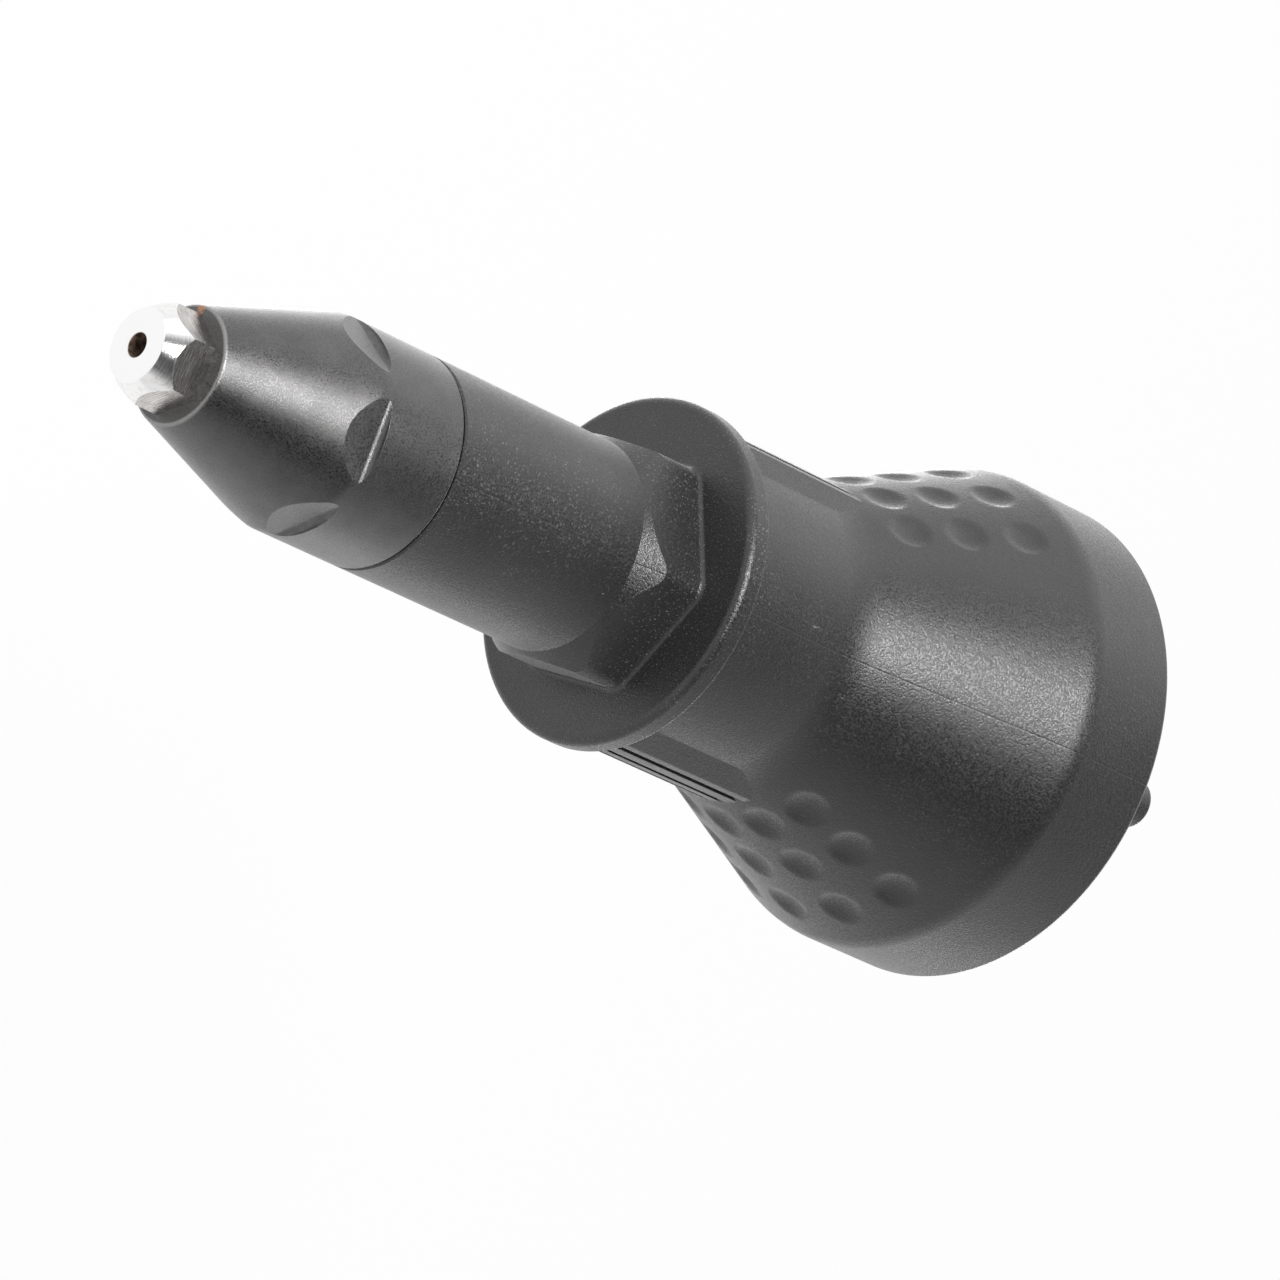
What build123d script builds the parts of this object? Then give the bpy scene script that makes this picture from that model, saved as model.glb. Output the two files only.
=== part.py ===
from build123d import *
import os
from math import acos, atan, cos, pi, radians, sin, sqrt, tan

# Rivet drill adapter. Lengths are in millimetres. The tool's axis is X: the nose
# face lies at x = 0, the drive shank points along +X, and +Z is up. A station is
# a distance behind the nose face.

# Fits
slip = 0.05
seat = 0.02
free_gap = 0.2

# Nosepiece
nose_face_radius = 5.0
nose_across = 12.2
nose_clocking = 4.4
nose_head_length = 7.65
nose_cone_angle = 30.6
mandrel_radius = 1.68
nose_thread_radius = 4.7
nose_thread_length = 7.6
nose_tail_radius = 3.3
nose_tail_tip_radius = 2.1
nose_tail_length = 4.4

# Nose sleeve
sleeve_face_radius = 8.3
grip_radius = 15.15
sleeve_cone_length = 21.9
sleeve_length = 37.2
sleeve_web = 6.4
sleeve_shoulder_radius = 5.0
sleeve_edge = 0.4
sleeve_flats_across = 28.0
sleeve_flat_back = 23.9
sleeve_flat_corner = 0.9
sleeve_flat_count = 6
seam_gap = 0.3

# Jaws
jaw_count = 3
jaw_angle = 13.0
jaw_length = 13.0
jaw_front_radius = 4.6
jaw_bore_radius = 1.75
jaw_split = 0.8
jaw_tooth_pitch = 1.3
jaw_tooth_depth = 0.3
jaw_tooth_count = 7
jaw_gap = 0.3

# Jaw case and pusher
case_front_radius = 7.0
case_radius = 11.0
case_cone_length = 10.7
case_length = 25.7
case_room = 0.6
pusher_radius = 7.0
pusher_head_length = 2.4
pusher_stem_radius = 4.4
pusher_length = 8.4
spring_wire_radius = 0.5
spring_radius = 5.7
spring_turns = 6.5
spring_room = 17.0

# Drawbar, nut and keys
stroke = 18.0
drawbar_spigot_radius = 8.3
drawbar_spigot_length = 7.5
drawbar_collar_length = 6.0
drawbar_stem_radius = 9.0
drawbar_stem_length = 28.0
drawbar_socket_length = 20.5
passage_radius = 3.2
nut_radius = 8.6
nut_length = 19.0
key_width = 5.0
key_length = 8.0
key_depth = 1.2

# Inner tube
tube_wall = 1.45
tube_overlap = 9.0
tube_flange_radius = 17.5
tube_flange_length = 4.0
tube_lip_length = 1.5
guide_bush_length = 7.6
seal_ring_wire = 0.45
seal_ring_recess = 1.3

# Lead screw and thrust bearing
screw_radius = 5.0
screw_journal_radius = 6.0
screw_flange_radius = 11.0
screw_flange_length = 3.5
screw_tail_radius = 8.0
screw_drive_across = 12.0
thrust_race_radius = 13.2
thrust_race_thickness = 3.0
thrust_gap = 3.6
thrust_ball_radius = 2.38
thrust_circle_radius = 9.8
thrust_ball_count = 10
thrust_cage_thickness = 1.8

# Bearing plate
plate_thickness = 7.0
plate_radius = 24.3
bush_wall = 2.45
plate_screw_radius = 1.5
plate_screw_count = 3
plate_screw_circle = 20.9
plate_screw_head = 2.6
plate_screw_recess = 2.4
plate_screw_grip = 5.5

# Planetary gears
gear_module = 1.2
sun_teeth = 15
planet_teeth = 15
planet_count = 3
gear_width = 8.4
pressure_angle = 20.0
backlash = 0.12
carrier_radius = 23.5
carrier_thickness = 4.6
carrier_plate_thickness = 2.4
carrier_plate_hole = 11.5
carrier_gap = 3.2
pin_radius = 2.5
post_circle = 18.5
post_radius = 3.4
rivet_radius = 1.8
side_play = 0.5
ring_tip_share = 0.7
ring_rim = 1.2
ring_lug_count = 4
ring_lug_width = 6.0
ring_lug_height = 1.3

# Rear bearing, shank and seal
bearing_bore_radius = 6.0
bearing_radius = 14.0
bearing_width = 8.0
bearing_ball_radius = 2.38
bearing_ball_count = 8
race_wall = 2.4
shank_across = 10.0
shank_free_length = 20.3
shank_end_chamfer = 0.8
pilot_radius = 3.0
pilot_length = 7.0
circlip_thickness = 0.9
circlip_radius = 7.8
circlip_groove = 0.5
circlip_opening = 5.0
bearing_cage_thickness = 1.4
bearing_cage_width = 6.0
seal_thickness = 2.4
seal_radius = 9.4

# Housing outside
collar_across = 31.4
collar_length = 10.8
collar_chamfer = 33.0
collar_corner = 3.0
collar_foot_fillet = 0.7
flange_lead = 26.95
flange_thickness = 3.5
flange_height = 3.1
flange_edge = 1.0
neck_radius = 21.6
neck_length = 23.1
flare_foot_round = 38.0
shoulder_round = 14.0
rim_radius = 34.9
rim_lead = 8.95
skirt_length = 15.3
rim_edge = 0.8
pad_height = 1.6
pad_top_half = 8.3
pad_foot_half = 10.8
groove_pitch = 3.2
groove_count = 5
groove_width = 1.1
groove_depth = 1.0
dimple_radius = 3.0
dimple_depth = 0.7
dimple_lead = 8.5
dimple_row_pitch = 8.6
dimple_rows = 3
dimple_columns = 5
dimple_column_angle = 17.9

# Housing inside
housing_edge = 0.2
rib_lead = 3.5
rib_count = 8
rib_width = 2.4
neck_bore_radius = 18.8
neck_bore_lead = 2.1
plate_seat_radius = 22.0
plate_boss_radius = 3.2
plate_boss_length = 6.0
bell_wall = 2.8

# Rear cover
cover_thickness = 2.4
cover_spigot_wall = 2.4
cover_hub_wall = 3.2
cover_boss_radius = 12.5
cover_rib_count = 8
cover_rib_width = 2.0
cover_clocking = -5.0
cover_ledge = 0.65
lug_count = 4
lug_radius = 3.4
lug_offset = 0.6
cover_screw_offset = 1.2
cover_screw_radius = 1.25
cover_screw_head = 2.2
cover_screw_length = 9.0

# Stations along the axis
sleeve_front = nose_head_length
sleeve_back = sleeve_front + sleeve_length
housing_front = sleeve_back + seam_gap
sleeve_cone_back = sleeve_front + sleeve_cone_length
nose_thread_back = nose_head_length + nose_thread_length
nose_tail_back = nose_thread_back + nose_tail_length
jaw_front = nose_tail_back - 0.3
jaw_back = jaw_front + jaw_length
case_front = jaw_front - 1.1
case_back = case_front + case_length
pusher_front = jaw_back + free_gap
spring_front = pusher_front + pusher_head_length
drawbar_front = case_back - drawbar_spigot_length
drawbar_collar_back = case_back + drawbar_collar_length
spring_back = spring_front + spring_room
drawbar_stem_back = drawbar_collar_back + drawbar_stem_length
drawbar_back = drawbar_stem_back + drawbar_socket_length
nut_back = drawbar_back - seat
nut_front = nut_back - nut_length
key_station = nut_front + nut_length / 2
screw_front = nut_front + 2.0
tube_front = sleeve_back - tube_overlap
tube_back = drawbar_back + stroke + 0.8
guide_bush_back = drawbar_stem_back - 1.0
guide_bush_front = guide_bush_back - guide_bush_length
race_gap_front = tube_back + thrust_race_thickness
thrust_ball_station = race_gap_front + thrust_gap / 2
race_gap_back = race_gap_front + thrust_gap
screw_flange_front = race_gap_back + thrust_race_thickness
screw_flange_back = screw_flange_front + screw_flange_length
plate_front = screw_flange_back + 1.2
plate_back = plate_front + plate_thickness
carrier_front = plate_back + carrier_gap
carrier_back = carrier_front + carrier_thickness
planet_front = carrier_back + side_play
planet_back = planet_front + gear_width
carrier_plate_front = planet_back + side_play
carrier_plate_back = carrier_plate_front + carrier_plate_thickness
ring_front = planet_front - 0.3
ring_back = planet_back + 1.4
bearing_front = carrier_plate_back + 0.8
bearing_back = bearing_front + bearing_width
circlip_front = bearing_back + seat
circlip_back = circlip_front + circlip_thickness
seal_front = circlip_back + 0.4
seal_back = seal_front + seal_thickness
shank_shoulder = seal_back + 0.2
shank_back = shank_shoulder + shank_free_length
flange_front = tube_back - flange_lead
flange_back = flange_front + flange_thickness
collar_start = flange_front - collar_length
rib_front = flange_back + rib_lead
flare_foot = flange_back + neck_length
neck_bore_back = flare_foot + neck_bore_lead
dimple_first_row = flare_foot + dimple_lead
rim_station = ring_back + rim_lead
flare_top = rim_station - skirt_length
cover_back = rim_station + cover_thickness
cover_spigot_front = ring_back + 0.1

# Radii that follow from the sizes above
jaw_slope = tan(radians(jaw_angle))
case_cone_gap = jaw_gap / cos(radians(jaw_angle))
tube_bore_radius = case_radius + free_gap
tube_radius = tube_bore_radius + tube_wall
case_thread_radius = drawbar_spigot_radius + slip
pin_circle = gear_module * (sun_teeth + planet_teeth) / 2
ring_teeth = sun_teeth + 2 * planet_teeth
ring_pitch_radius = gear_module * ring_teeth / 2
ring_tip_radius = ring_pitch_radius - ring_tip_share * gear_module
ring_root_radius = ring_pitch_radius + 1.25 * gear_module
ring_radius = ring_root_radius + ring_rim
bell_bore_radius = ring_radius + slip
bearing_pitch_radius = (bearing_bore_radius + bearing_radius) / 2
flare_slope = (rim_radius - neck_radius) / (flare_top - flare_foot)
carrier_room_radius = neck_radius + flare_slope * (plate_back - flare_foot) - bell_wall
cover_radius = bell_bore_radius + cover_ledge
lug_circle = cover_radius + lug_offset
cover_screw_circle = cover_radius + cover_screw_offset
flange_radius = neck_radius + flange_height
pad_radius = neck_radius + pad_height
pad_foot_height = sqrt(neck_radius**2 - pad_foot_half**2)
sun_radius = gear_module * sun_teeth / 2
planet_radius = gear_module * planet_teeth / 2
tooth_width = pi * gear_module / 2
first_planet_angle = 90.0


def turned(*corners):
    """The half section of a turned piece, from its (station, radius) corners."""
    with BuildSketch(Plane.XZ) as section:
        with BuildLine():
            Polyline(*corners, close=True)
        make_face()
    return section.sketch


def ring_section(front, back, inner, outer):
    """The half section of a plain ring between two stations."""
    return turned((front, inner), (back, inner), (back, outer), (front, outer))


def bore_section(front, back, radius):
    """The half section of a bore between two stations."""
    return ring_section(front, back, 0, radius)


def around(radius, angle):
    """The (y, z) place at a radius and an angle from +Y towards +Z."""
    return radius * cos(radians(angle)), radius * sin(radians(angle))


def section_plane(station, y=0, z=0):
    """The plane across the axis at a station, its x along +Y and its y along +Z."""
    return Plane(origin=(station, y, z), x_dir=(0, 1, 0), z_dir=(1, 0, 0))


def involute(angle):
    return tan(angle) - angle


def tooth_outline(teeth, width_at_pitch, foot, top):
    """One involute tooth on the x axis, from inside the foot radius to the top."""
    pitch_radius = gear_module * teeth / 2
    base_radius = pitch_radius * cos(radians(pressure_angle))
    half_base = width_at_pitch / (2 * pitch_radius) + involute(radians(pressure_angle))

    def flank(radius, side):
        turn = half_base - involute(acos(min(1, base_radius / radius)))
        return radius * cos(turn), side * radius * sin(turn)

    start = max(base_radius, foot)
    middle = (start + top) / 2
    sunk = 0.98 * foot / start
    upper_foot = tuple(sunk * value for value in flank(start, 1))
    lower_foot = tuple(sunk * value for value in flank(start, -1))
    with BuildSketch() as tooth:
        with BuildLine():
            Line(upper_foot, flank(start, 1))
            ThreePointArc(flank(start, 1), flank(middle, 1), flank(top, 1))
            Line(flank(top, 1), flank(top, -1))
            ThreePointArc(flank(top, -1), flank(middle, -1), flank(start, -1))
            Line(flank(start, -1), lower_foot)
            Line(lower_foot, upper_foot)
        make_face()
    return tooth.sketch


def toothed_outline(teeth, width_at_pitch, foot, top, first_tooth):
    """A disc of the foot radius with teeth all round it."""
    tooth = tooth_outline(teeth, width_at_pitch, foot, top)
    with BuildSketch() as outline:
        Circle(foot)
        with PolarLocations(0, teeth, start_angle=first_tooth):
            add(tooth)
    return outline.sketch


os.makedirs("parts", exist_ok=True)


# Nosepiece: hexagonal head with a cone on its front, a thread and a jaw-opening tail
nose_corner_radius = nose_across / sqrt(3)
nose_cone_length = (nose_corner_radius - nose_face_radius) / tan(radians(nose_cone_angle))
with BuildPart() as nosepiece:
    with BuildSketch(Plane.YZ):
        RegularPolygon(nose_across / 2, 6, major_radius=False, rotation=nose_clocking)
    extrude(amount=nose_head_length)
    revolve(
        turned(
            (0, 0),
            (0, nose_face_radius),
            (nose_cone_length, nose_corner_radius),
            (nose_head_length, nose_corner_radius),
            (nose_head_length, 0),
        ),
        axis=Axis.X,
        mode=Mode.INTERSECT,
    )
    revolve(bore_section(nose_head_length, nose_thread_back, nose_thread_radius), axis=Axis.X)
    revolve(
        turned(
            (nose_thread_back, 0),
            (nose_thread_back, nose_tail_radius),
            (nose_tail_back - nose_tail_length / 2, nose_tail_radius),
            (nose_tail_back, nose_tail_tip_radius),
            (nose_tail_back, 0),
        ),
        axis=Axis.X,
    )
    with Locations(Plane.YZ):
        Hole(mandrel_radius)
nosepiece.part.label = "nosepiece"
export_step(nosepiece.part, "parts/nosepiece.step")

# Nose sleeve: a turned steel cone with six spanner flats, hollow for the jaw case
sleeve_web_back = sleeve_front + sleeve_web
cavity_front_radius = case_front_radius + case_room
cavity_radius = case_radius + case_room
seal_recess_radius = tube_radius + 2 * seal_ring_wire + 2 * seat
with BuildPart() as flat_cutter:
    with BuildSketch(Plane.XZ):
        with BuildLine():
            FilletPolyline(
                (0, 2 * grip_radius),
                (0, sleeve_flats_across / 2),
                (sleeve_front + sleeve_flat_back, sleeve_flats_across / 2),
                (sleeve_front + sleeve_flat_back, 2 * grip_radius),
                radius=(0, sleeve_flat_corner),
            )
            Line(
                (sleeve_front + sleeve_flat_back, 2 * grip_radius),
                (0, 2 * grip_radius),
            )
        make_face()
    extrude(amount=grip_radius, both=True)

with BuildPart() as nose_sleeve:
    with BuildSketch(Plane.XZ):
        with BuildLine():
            outside = FilletPolyline(
                (sleeve_front, sleeve_face_radius - sleeve_edge),
                (sleeve_front + sleeve_edge, sleeve_face_radius),
                (sleeve_cone_back, grip_radius),
                (sleeve_back - sleeve_edge / 2, grip_radius),
                (sleeve_back, grip_radius - sleeve_edge / 2),
                radius=(0, sleeve_shoulder_radius, 0),
            )
            Polyline(
                outside @ 1,
                (sleeve_back, seal_recess_radius),
                (sleeve_back - seal_ring_recess, seal_recess_radius),
                (sleeve_back - seal_ring_recess, tube_radius + slip),
                (tube_front - 0.5, tube_radius + slip),
                (tube_front - 0.5, cavity_radius),
                (sleeve_cone_back, cavity_radius),
                (sleeve_web_back, cavity_front_radius),
                (sleeve_web_back, nose_thread_radius + slip),
                (sleeve_front, nose_thread_radius + slip),
                outside @ 0,
            )
        make_face()
    revolve(axis=Axis.X)
    for flat in range(sleeve_flat_count):
        add(
            flat_cutter.part.rotate(Axis.X, flat * 360 / sleeve_flat_count),
            mode=Mode.SUBTRACT,
        )
nose_sleeve.part.label = "nose_sleeve"
export_step(nose_sleeve.part, "parts/nose_sleeve.step")

# Jaws: three hardened segments of one cone, each with a toothed groove
tail_mouth = nose_tail_radius + free_gap
mouth_length = (tail_mouth - jaw_bore_radius) * 1.4
tooth_start = jaw_front + mouth_length + 0.6
with BuildPart() as jaw_blank:
    revolve(
        turned(
            (jaw_front, jaw_front_radius),
            (jaw_front, tail_mouth),
            (jaw_front + mouth_length, jaw_bore_radius),
            (jaw_back, jaw_bore_radius),
            (jaw_back, jaw_front_radius + jaw_slope * jaw_length),
        ),
        axis=Axis.X,
    )
    for tooth in range(jaw_tooth_count):
        root = tooth_start + tooth * jaw_tooth_pitch
        revolve(
            turned(
                (root, 0),
                (root, jaw_bore_radius + jaw_tooth_depth),
                (root + jaw_tooth_pitch * 0.8, jaw_bore_radius),
                (root + jaw_tooth_pitch * 0.8, 0),
            ),
            axis=Axis.X,
            mode=Mode.SUBTRACT,
        )

for number in range(jaw_count):
    middle = first_planet_angle + number * 360 / jaw_count
    half_share = 180 / jaw_count
    apex_shift = jaw_split / 2 / sin(radians(half_share))
    reach = 3 * case_radius
    with BuildPart() as jaw:
        with BuildSketch(Plane.YZ.offset(jaw_front)):
            with Locations(around(apex_shift, middle)):
                Polygon(
                    (0, 0),
                    around(reach, middle - half_share),
                    around(reach, middle + half_share),
                    align=None,
                )
        extrude(amount=jaw_length)
        add(jaw_blank.part, mode=Mode.INTERSECT)
    jaw.part.label = f"jaw_{number + 1}"
    export_step(jaw.part, f"parts/{jaw.part.label}.step")

# Jaw case: its inner cone closes the jaws as it is pulled back
case_cone_back = jaw_back + 1.0
case_mouth_radius = jaw_front_radius + case_cone_gap - jaw_slope * (jaw_front - case_front)
case_cone_radius = case_mouth_radius + jaw_slope * (case_cone_back - case_front)
with BuildPart() as jaw_case:
    revolve(
        turned(
            (case_front, case_mouth_radius),
            (case_front, case_front_radius),
            (case_front + case_cone_length, case_radius),
            (case_back, case_radius),
            (case_back, case_thread_radius),
            (case_cone_back, case_thread_radius),
            (case_cone_back, case_cone_radius),
        ),
        axis=Axis.X,
    )
jaw_case.part.label = "jaw_case"
export_step(jaw_case.part, "parts/jaw_case.step")

# Jaw pusher: a headed tube that the spring presses against the jaws
with BuildPart() as jaw_pusher:
    revolve(
        ring_section(pusher_front, spring_front, mandrel_radius + free_gap, pusher_radius),
        axis=Axis.X,
    )
    revolve(
        ring_section(
            spring_front - seat,
            pusher_front + pusher_length,
            mandrel_radius + free_gap,
            pusher_stem_radius,
        ),
        axis=Axis.X,
    )
jaw_pusher.part.label = "jaw_pusher"
export_step(jaw_pusher.part, "parts/jaw_pusher.step")

# Jaw spring: a coil between the pusher's head and the drawbar's shoulder
spring_start = spring_front + spring_wire_radius + slip
spring_length = spring_room - 2 * (spring_wire_radius + slip)
with BuildPart() as jaw_spring:
    with BuildLine() as coil:
        Helix(
            pitch=spring_length / spring_turns,
            height=spring_length,
            radius=spring_radius,
            center=(spring_start, 0, 0),
            direction=(1, 0, 0),
        )
    with BuildSketch(Plane(origin=coil.line @ 0, z_dir=coil.line % 0)):
        Circle(spring_wire_radius)
    sweep(is_frenet=True)
jaw_spring.part.label = "jaw_spring"
export_step(jaw_spring.part, "parts/jaw_spring.step")

# Drawbar: the hollow bar that joins the jaw case to the nut
spring_bore = spring_radius + spring_wire_radius + 0.8
screw_room = screw_front - stroke - 1.5
with BuildPart() as drawbar:
    revolve(
        turned(
            (drawbar_front, spring_bore),
            (drawbar_front, drawbar_spigot_radius),
            (case_back + seat, drawbar_spigot_radius),
            (case_back + seat, case_radius - 0.4),
            (drawbar_collar_back, case_radius - 0.4),
            (drawbar_collar_back, drawbar_stem_radius),
            (drawbar_stem_back, drawbar_stem_radius),
            (drawbar_stem_back, tube_bore_radius - 2 * slip),
            (drawbar_back, tube_bore_radius - 2 * slip),
            (drawbar_back, nut_radius + seat),
            (nut_front - seat, nut_radius + seat),
            (nut_front - seat, screw_radius + 0.6),
            (screw_room, screw_radius + 0.6),
            (screw_room, passage_radius),
            (spring_back + slip, passage_radius),
            (spring_back + slip, spring_bore),
        ),
        axis=Axis.X,
    )
    with BuildSketch(Plane.XY):
        with Locations((key_station, 0)):
            Rectangle(key_length + 2 * seat, 4 * tube_radius)
    extrude(amount=key_width / 2 + seat, both=True, mode=Mode.SUBTRACT)
drawbar.part.label = "drawbar"
export_step(drawbar.part, "parts/drawbar.step")

# Drawbar nut: a bronze nut with two pockets for the guide keys
with BuildPart() as drawbar_nut:
    revolve(
        ring_section(nut_front, nut_back, screw_radius + slip, nut_radius),
        axis=Axis.X,
    )
    for side in (-1, 1):
        with BuildSketch(Plane.XY):
            with Locations((key_station, side * (2 * nut_radius - key_depth))):
                Rectangle(key_length + 2 * seat, 2 * nut_radius)
        extrude(amount=key_width / 2 + seat, both=True, mode=Mode.SUBTRACT)
drawbar_nut.part.label = "drawbar_nut"
export_step(drawbar_nut.part, "parts/drawbar_nut.step")

# Guide keys: two keys through the drawbar that slide in the tube's slots
key_foot = nut_radius - key_depth + seat
key_top = tube_radius - free_gap
with BuildPart() as guide_keys:
    for side in (-1, 1):
        with Locations((key_station, side * (key_foot + key_top) / 2, 0)):
            Box(key_length, key_top - key_foot, key_width)
guide_keys.part.label = "guide_keys"
export_step(guide_keys.part, "parts/guide_keys.step")

# Inner tube: carries the pull between the nose sleeve and the thrust bearing
slot_front = key_station - key_length / 2 - 0.6
slot_back = key_station + key_length / 2 + stroke + 0.6
with BuildPart() as inner_tube:
    revolve(ring_section(tube_front, tube_back, tube_bore_radius, tube_radius), axis=Axis.X)
    revolve(
        ring_section(
            tube_back - tube_flange_length,
            tube_back,
            tube_bore_radius,
            tube_flange_radius,
        ),
        axis=Axis.X,
    )
    revolve(
        ring_section(
            tube_back,
            tube_back + tube_lip_length,
            thrust_race_radius + slip,
            tube_flange_radius,
        ),
        axis=Axis.X,
    )
    with BuildSketch(Plane.XY):
        with Locations(((slot_front + slot_back) / 2, 0)):
            Rectangle(slot_back - slot_front, 2 * tube_radius + 0.5)
    extrude(amount=key_width / 2 + slip, both=True, mode=Mode.SUBTRACT)
inner_tube.part.label = "inner_tube"
export_step(inner_tube.part, "parts/inner_tube.step")

# Seal ring: a rubber ring in the sleeve's rear recess, round the inner tube
with BuildPart() as seal_ring:
    with BuildSketch(Plane.XZ):
        with Locations((sleeve_back - seal_ring_recess / 2, tube_radius + seal_ring_wire + seat)):
            Circle(seal_ring_wire)
    revolve(axis=Axis.X)
seal_ring.part.label = "seal_ring"
export_step(seal_ring.part, "parts/seal_ring.step")

# Guide bush: a bronze ring that carries the drawbar's stem in the tube
with BuildPart() as guide_bush:
    revolve(
        ring_section(
            guide_bush_front,
            guide_bush_back,
            drawbar_stem_radius + slip,
            tube_bore_radius - seat,
        ),
        axis=Axis.X,
    )
guide_bush.part.label = "guide_bush"
export_step(guide_bush.part, "parts/guide_bush.step")

# Lead screw: thread, thrust journal, flange, tail journal and a hexagonal drive
with BuildPart() as lead_screw:
    revolve(
        turned(
            (screw_front, 0),
            (screw_front, screw_radius - 1),
            (screw_front + 1, screw_radius),
            (tube_back, screw_radius),
            (tube_back, screw_journal_radius),
            (screw_flange_front, screw_journal_radius),
            (screw_flange_front, screw_flange_radius),
            (screw_flange_back, screw_flange_radius),
            (screw_flange_back, screw_tail_radius),
            (carrier_front - seat, screw_tail_radius),
            (carrier_front - seat, 0),
        ),
        axis=Axis.X,
    )
    with BuildSketch(section_plane(carrier_front - seat)):
        RegularPolygon(screw_drive_across / 2, 6, major_radius=False)
    extrude(amount=carrier_back - carrier_front + seat)
    revolve(
        bore_section(carrier_back - pilot_length, carrier_back + 1, pilot_radius + slip),
        axis=Axis.X,
        mode=Mode.SUBTRACT,
    )
lead_screw.part.label = "lead_screw"
export_step(lead_screw.part, "parts/lead_screw.step")

# Thrust bearing: two grooved races, a cage and its balls
groove_radius = thrust_ball_radius + slip
with BuildPart() as thrust_groove:
    with BuildSketch(Plane.XZ):
        with Locations((thrust_ball_station, thrust_circle_radius)):
            Circle(groove_radius)
    revolve(axis=Axis.X)

with BuildPart() as thrust_race_front:
    revolve(
        ring_section(tube_back, race_gap_front, screw_journal_radius + 0.5, thrust_race_radius),
        axis=Axis.X,
    )
    add(thrust_groove.part, mode=Mode.SUBTRACT)
thrust_race_front.part.label = "thrust_race_front"
export_step(thrust_race_front.part, "parts/thrust_race_front.step")

with BuildPart() as thrust_race_rear:
    revolve(
        ring_section(
            race_gap_back,
            screw_flange_front,
            screw_journal_radius + seat,
            thrust_race_radius,
        ),
        axis=Axis.X,
    )
    add(thrust_groove.part, mode=Mode.SUBTRACT)
thrust_race_rear.part.label = "thrust_race_rear"
export_step(thrust_race_rear.part, "parts/thrust_race_rear.step")

with BuildPart() as thrust_cage:
    revolve(
        ring_section(
            thrust_ball_station - thrust_cage_thickness / 2,
            thrust_ball_station + thrust_cage_thickness / 2,
            screw_journal_radius + 1,
            thrust_race_radius - 0.5,
        ),
        axis=Axis.X,
    )
    with Locations(Plane.YZ.offset(thrust_ball_station)):
        with PolarLocations(thrust_circle_radius, thrust_ball_count):
            Hole(groove_radius)
thrust_cage.part.label = "thrust_cage"
export_step(thrust_cage.part, "parts/thrust_cage.step")

with BuildPart() as thrust_balls:
    with Locations(Plane.YZ.offset(thrust_ball_station)):
        with PolarLocations(thrust_circle_radius, thrust_ball_count):
            Sphere(thrust_ball_radius)
thrust_balls.part.label = "thrust_balls"
export_step(thrust_balls.part, "parts/thrust_balls.step")

# Bearing plate: a disc across the bell, with the bronze bush of the screw's tail
bush_radius = screw_tail_radius + slip + bush_wall
with BuildPart() as bearing_plate:
    revolve(ring_section(plate_front, plate_back, bush_radius + seat, plate_radius), axis=Axis.X)
    with Locations(section_plane(plate_back)):
        with PolarLocations(plate_screw_circle, plate_screw_count, start_angle=30):
            CounterBoreHole(
                plate_screw_radius + slip,
                plate_screw_head + slip,
                plate_screw_recess,
            )
bearing_plate.part.label = "bearing_plate"
export_step(bearing_plate.part, "parts/bearing_plate.step")

with BuildPart() as spindle_bush:
    revolve(
        ring_section(plate_front, plate_back, screw_tail_radius + slip, bush_radius),
        axis=Axis.X,
    )
spindle_bush.part.label = "spindle_bush"
export_step(spindle_bush.part, "parts/spindle_bush.step")

# Plate screws: three screws from the plate into the housing's bosses
screw_head_seat = plate_back - plate_screw_recess
with BuildPart() as plate_screws:
    with BuildSketch(section_plane(plate_front - plate_screw_grip)):
        with PolarLocations(plate_screw_circle, plate_screw_count, start_angle=30):
            Circle(plate_screw_radius)
    extrude(amount=screw_head_seat - plate_front + plate_screw_grip + seat)
    with BuildSketch(section_plane(screw_head_seat + seat)):
        with PolarLocations(plate_screw_circle, plate_screw_count, start_angle=30):
            Circle(plate_screw_head)
    extrude(amount=plate_screw_recess - free_gap)
plate_screws.part.label = "plate_screws"
export_step(plate_screws.part, "parts/plate_screws.step")

# Planet carrier: a disc on the screw's drive, with posts riveted to a rear plate
posts_start = first_planet_angle + 180 / planet_count
with BuildPart() as planet_carrier:
    revolve(bore_section(carrier_front, carrier_back, carrier_radius), axis=Axis.X)
    with BuildSketch(section_plane(carrier_back)):
        with PolarLocations(post_circle, planet_count, start_angle=posts_start):
            Circle(post_radius)
    extrude(amount=carrier_plate_front - carrier_back)
    with BuildSketch(section_plane(carrier_plate_front)):
        with PolarLocations(post_circle, planet_count, start_angle=posts_start):
            Circle(rivet_radius)
    extrude(amount=carrier_plate_thickness)
    with BuildSketch(section_plane(carrier_front)):
        RegularPolygon(screw_drive_across / 2 + seat, 6, major_radius=False)
        with PolarLocations(pin_circle, planet_count, start_angle=first_planet_angle):
            Circle(pin_radius + seat)
    extrude(amount=carrier_thickness, mode=Mode.SUBTRACT)
planet_carrier.part.label = "planet_carrier"
export_step(planet_carrier.part, "parts/planet_carrier.step")

with BuildPart() as carrier_plate:
    with BuildSketch(section_plane(carrier_plate_front + seat)):
        Circle(carrier_radius)
        Circle(carrier_plate_hole, mode=Mode.SUBTRACT)
        with PolarLocations(pin_circle, planet_count, start_angle=first_planet_angle):
            Circle(pin_radius + seat, mode=Mode.SUBTRACT)
        with PolarLocations(post_circle, planet_count, start_angle=posts_start):
            Circle(rivet_radius + seat, mode=Mode.SUBTRACT)
    extrude(amount=carrier_plate_thickness)
carrier_plate.part.label = "carrier_plate"
export_step(carrier_plate.part, "parts/carrier_plate.step")

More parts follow.
